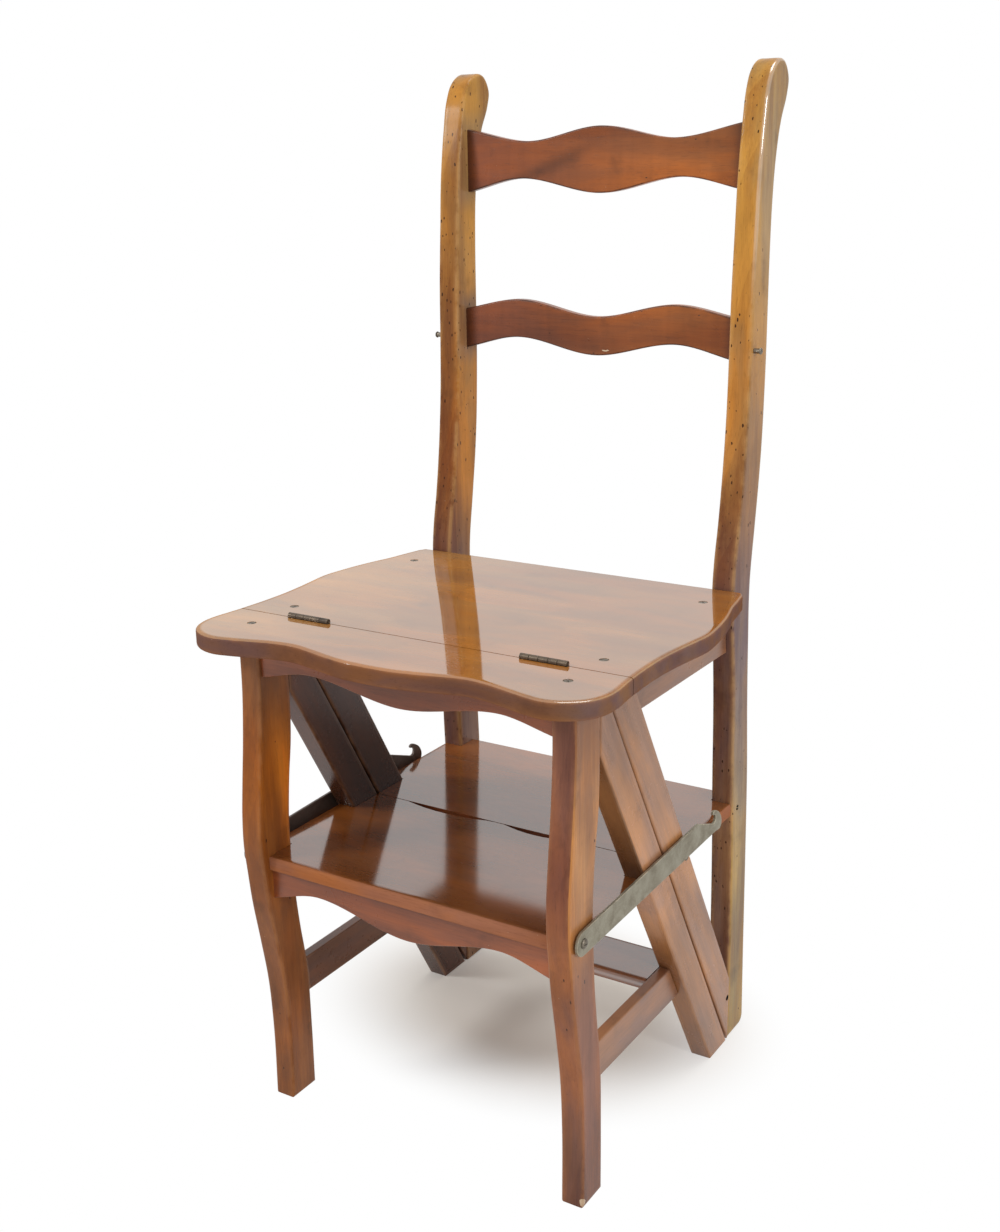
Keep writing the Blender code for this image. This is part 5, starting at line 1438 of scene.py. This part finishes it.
def slotted_screws_tree():
    """A screw at each point, its head up or out to the side, each slot turned at random."""
    tree, given, made = geometry_tree(
        "slotted_screws",
        [("Head", "Float", 0.003), ("Rise", "Float", 0.001), ("Sink", "Float", 0.002),
         ("Shank", "Float", 0.001), ("Length", "Float", 0.02), ("Slot width", "Float", 0.0007),
         ("Slot depth", "Float", 0.0006), ("Sideways", "Float", 0.0), ("Domed", "Bool", False),
         ("Slotted", "Bool", True), ("Seed", "Int", 1), ("Material", "Material", None)])
    rise = given["Rise"]
    ball = node(tree, "GeometryNodeMeshUVSphere",
                {"Segments": SCREW_SIDES, "Rings": SCREW_SIDES // 2, "Radius": 1.0}).outputs["Mesh"]
    ball = shifted(tree, ball, Scale=vector_of(tree, X=given["Head"], Y=given["Head"], Z=rise))
    keep = vector_of(tree, X=1.0, Y=1.0, Z=maths(tree, "MULTIPLY", rise, 4.0))
    keep = node(tree, "GeometryNodeMeshCube", {"Size": keep}).outputs["Mesh"]
    keep = shifted(tree, keep, Translation=along_z(tree, rise, 2.0))
    dome = combined(tree, "INTERSECT", ball, keep)
    cone = node(tree, "GeometryNodeMeshCone",
                {"Vertices": SCREW_SIDES, "Radius Top": given["Head"], "Radius Bottom": given["Shank"],
                 "Depth": given["Sink"]}).outputs["Mesh"]
    cone = shifted(tree, cone, Translation=along_z(tree, given["Sink"], -1.0))
    head = node(tree, "GeometryNodeSwitch", {"Switch": given["Domed"], "False": cone, "True": dome},
                input_type="GEOMETRY").outputs["Output"]
    shank = node(tree, "GeometryNodeMeshCylinder",
                 {"Vertices": SCREW_SIDES, "Radius": given["Shank"], "Depth": given["Length"]}).outputs
    shank = shifted(tree, shank["Mesh"], Translation=along_z(tree, given["Length"], -0.5))
    whole = combined(tree, "UNION", head, shank)
    crown = node(tree, "GeometryNodeSwitch", {"Switch": given["Domed"], "False": 0.0, "True": rise},
                 input_type="FLOAT").outputs["Output"]
    bar = vector_of(tree, X=maths(tree, "MULTIPLY", given["Head"], 3.0), Y=given["Slot width"],
                    Z=maths(tree, "MULTIPLY", given["Slot depth"], 2.0))
    bar = node(tree, "GeometryNodeMeshCube", {"Size": bar}).outputs["Mesh"]
    bar = shifted(tree, bar, Translation=vector_of(tree, Z=crown))
    sawn = node(tree, "GeometryNodeMeshBoolean", {"Mesh 1": whole, "Mesh 2": bar},
                operation="DIFFERENCE", solver="EXACT").outputs["Mesh"]
    screw = node(tree, "GeometryNodeSwitch", {"Switch": given["Slotted"], "False": whole, "True": sawn},
                 input_type="GEOMETRY").outputs["Output"]
    spot = split_up(tree, node(tree, "GeometryNodeInputPosition").outputs[0])
    out = maths(tree, "MULTIPLY", maths(tree, "SIGN", spot["X"]), given["Sideways"])
    aim = vector_of(tree, X=out, Z=maths(tree, "SUBTRACT", 1.0, given["Sideways"]))
    aimed = node(tree, "FunctionNodeAlignRotationToVector", {"Vector": aim}, axis="Z").outputs["Rotation"]
    chance = node(tree, "FunctionNodeRandomValue", {3: math.pi, "Seed": given["Seed"]}, data_type="FLOAT")
    spin = node(tree, "FunctionNodeAxisAngleToRotation", {"Axis": (0, 0, 1), "Angle": chance.outputs[1]})
    turned = node(tree, "FunctionNodeRotateRotation",
                  {"Rotation": aimed, "Rotate By": spin.outputs["Rotation"]}, rotation_space="LOCAL")
    screws = node(tree, "GeometryNodeInstanceOnPoints",
                  {"Points": given["Geometry"], "Instance": screw, "Rotation": turned.outputs["Rotation"]})
    return finished(tree, made, screws.outputs["Instances"], given["Material"])


SLOTTED_SCREWS = slotted_screws_tree()
screw_metal = tarnished("screw_metal", (0.25, 0.215, 0.17), (0.10, 0.085, 0.065), (0.52, 0.45, 0.36), 0.36)


def add_screws(name, body, places, nodes, **values):
    """Screws of one kind on one body."""
    values = {"Slot width": SLOT_WIDTH, "Slot depth": SLOT_DEPTH, "Sink": SCREW_HEAD / 2,
              "Shank": SCREW_SHANK, "Material": screw_metal, **values}
    add_piece(name, grown(name, SLOTTED_SCREWS, values, places), body, screw_metal, "fitting_metal", *nodes)


for name, body, ends, seed in (("seat_screws_front", "front_half", ("front",), 3),
                               ("seat_screws_rear", "rear_half", ("middle", "rear"), 5)):
    spots = [spot for end in ends for spot in seat_screw_places(end)]
    add_screws(name, body, [(x, y, seat_top - SCREW_SINK / 2) for solid, x, y in spots],
               [solid for solid, x, y in spots], Head=SCREW_HEAD, Length=SEAT_SCREW_LENGTH, Seed=seed)


def side_places(solid, proud):
    """The outer end of a round solid on each side, less what its dome stands proud."""
    places = []
    for side_name, side in SIDES.items():
        low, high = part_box(solid + "_" + side_name)
        outer = side * (max(abs(low.x), abs(high.x)) - proud)
        places.append((outer, (low.y + high.y) / 2, (low.z + high.z) / 2))
    return places


for name, body, solid, rise, head, shank, length, slotted in (
        ("tread_screws", "rear_half", "post_screw", 0, 0.0026, 0.0012, 0.030, True),
        ("foot_nails", "rear_half", "foot_nail", 0, 0.0028, 0.0012, 0.012, False),
        ("pivot_screws", "front_half", "bar_pivot_screw", PIVOT_RISE, 0.0042, 0.0020, 0.018, True),
        ("stud_screws", "rear_half", "hook_stud", STUD_RISE, 0.0029, 0.0022, 0.020, True),
        ("rest_pins", "rear_half", "bar_rest_pin", REST_RISE, 0.0030, 0.0015, 0.012, True)):
    add_screws(name, body, side_places(solid, rise), [solid + "_" + side_name for side_name in SIDES],
               Head=head, Rise=max(rise, FIT), Shank=shank, Length=length, Sideways=1.0, Domed=rise > 0,
               Slotted=slotted, Seed=7)


# Hook bars: strips of brass, sawn to a hook at one end, that turn on a screw in each front
# leg. A washer holds each clear of the wood, and the hook drops over a stud as the steps lock.
BAR_WIDTH = 0.0208
BAR_EASE = 0.0005
BAR_END_STEPS = 24
BAR_BORE = 0.0023
HOOK_BACK_SHARES = ((0.240, -0.606), (0.697, -0.591), (0.784, -0.457), (0.798, -0.240),
                    (0.731, -0.072), (0.591, 0.115), (0.385, 0.269), (0.192, 0.365),
                    (0.024, 0.394), (-0.087, 0.346), (-0.106, 0.269), (0.010, 0.221),
                    (0.125, 0.173), (0.188, 0.077), (0.173, -0.029), (0.115, -0.125),
                    (0, -0.163), (-0.120, -0.135))
BAR_SHOULDER_SHARES = (-1.63, 0.433)
# Painted shade: the left bar is darkened
BAR_LEFT_SHADE = (0.42, 0.36, 0.42)
BAR_BAND = 0.0002
WASHER_EASE = 0.0003

bar_brass = tarnished("bar_brass", (0.34, 0.315, 0.24), (0.20, 0.175, 0.125), (0.55, 0.50, 0.38), 0.42, 0.8,
                      BAR_LEFT_SHADE)
radius = BAR_WIDTH / 2
openings = {opening["name"]: opening["box_m"] for opening in frame["record"]["physics"]["openings"]}
for side_name, side in SIDES.items():
    joint = next(joint for joint in frame["joints"] if joint["name"] == "hook_" + side_name)
    pivot = joint["pos_m"][1:]
    throat_low, throat_high = openings["hook_throat_" + side_name]
    throat = [(throat_low[k] + throat_high[k]) / 2 for k in (1, 2)]
    turns = [math.pi / 2 + math.pi * i / BAR_END_STEPS for i in range(BAR_END_STEPS + 1)]
    outline = [(pivot[0] + radius * math.cos(turn), pivot[1] + radius * math.sin(turn)) for turn in turns]
    hook = [(throat[0] + BAR_WIDTH * u, throat[1] + BAR_WIDTH * w)
            for u, w in (*HOOK_BACK_SHARES, BAR_SHOULDER_SHARES)]
    outline += smooth_line(hook[:-1], ARC_STEPS) + hook[-1:]
    low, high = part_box("hook_bar_" + side_name)
    mesh = board_mesh("hook_strip_" + side_name, outline, low.x, high.x, "X", BAR_EASE, fade=BAR_BAND)
    bore = round_mesh("bar_bore", [(low.x - OVERRUN, BAR_BORE), (high.x + OVERRUN, BAR_BORE)], "X", pivot)
    add_piece("hook_strip_" + side_name, carved(mesh, [bore]), "bar_" + side_name, bar_brass, "bar_metal",
              "hook_bar_" + side_name)
    low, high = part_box("bar_washer_" + side_name)
    washer = grown("washer_" + side_name, TURNED_RINGS,
                   {"Count": 1, "Pitch": 0.0, "Length": high.x - low.x, "Radius": (high.y - low.y) / 2,
                    "Bore": BAR_BORE, "Ease": WASHER_EASE, "Place": ((low.x + high.x) / 2, *pivot),
                    "Material": screw_metal})
    add_piece("washer_" + side_name, washer, "front_half", screw_metal, "fitting_metal",
              "bar_washer_" + side_name)
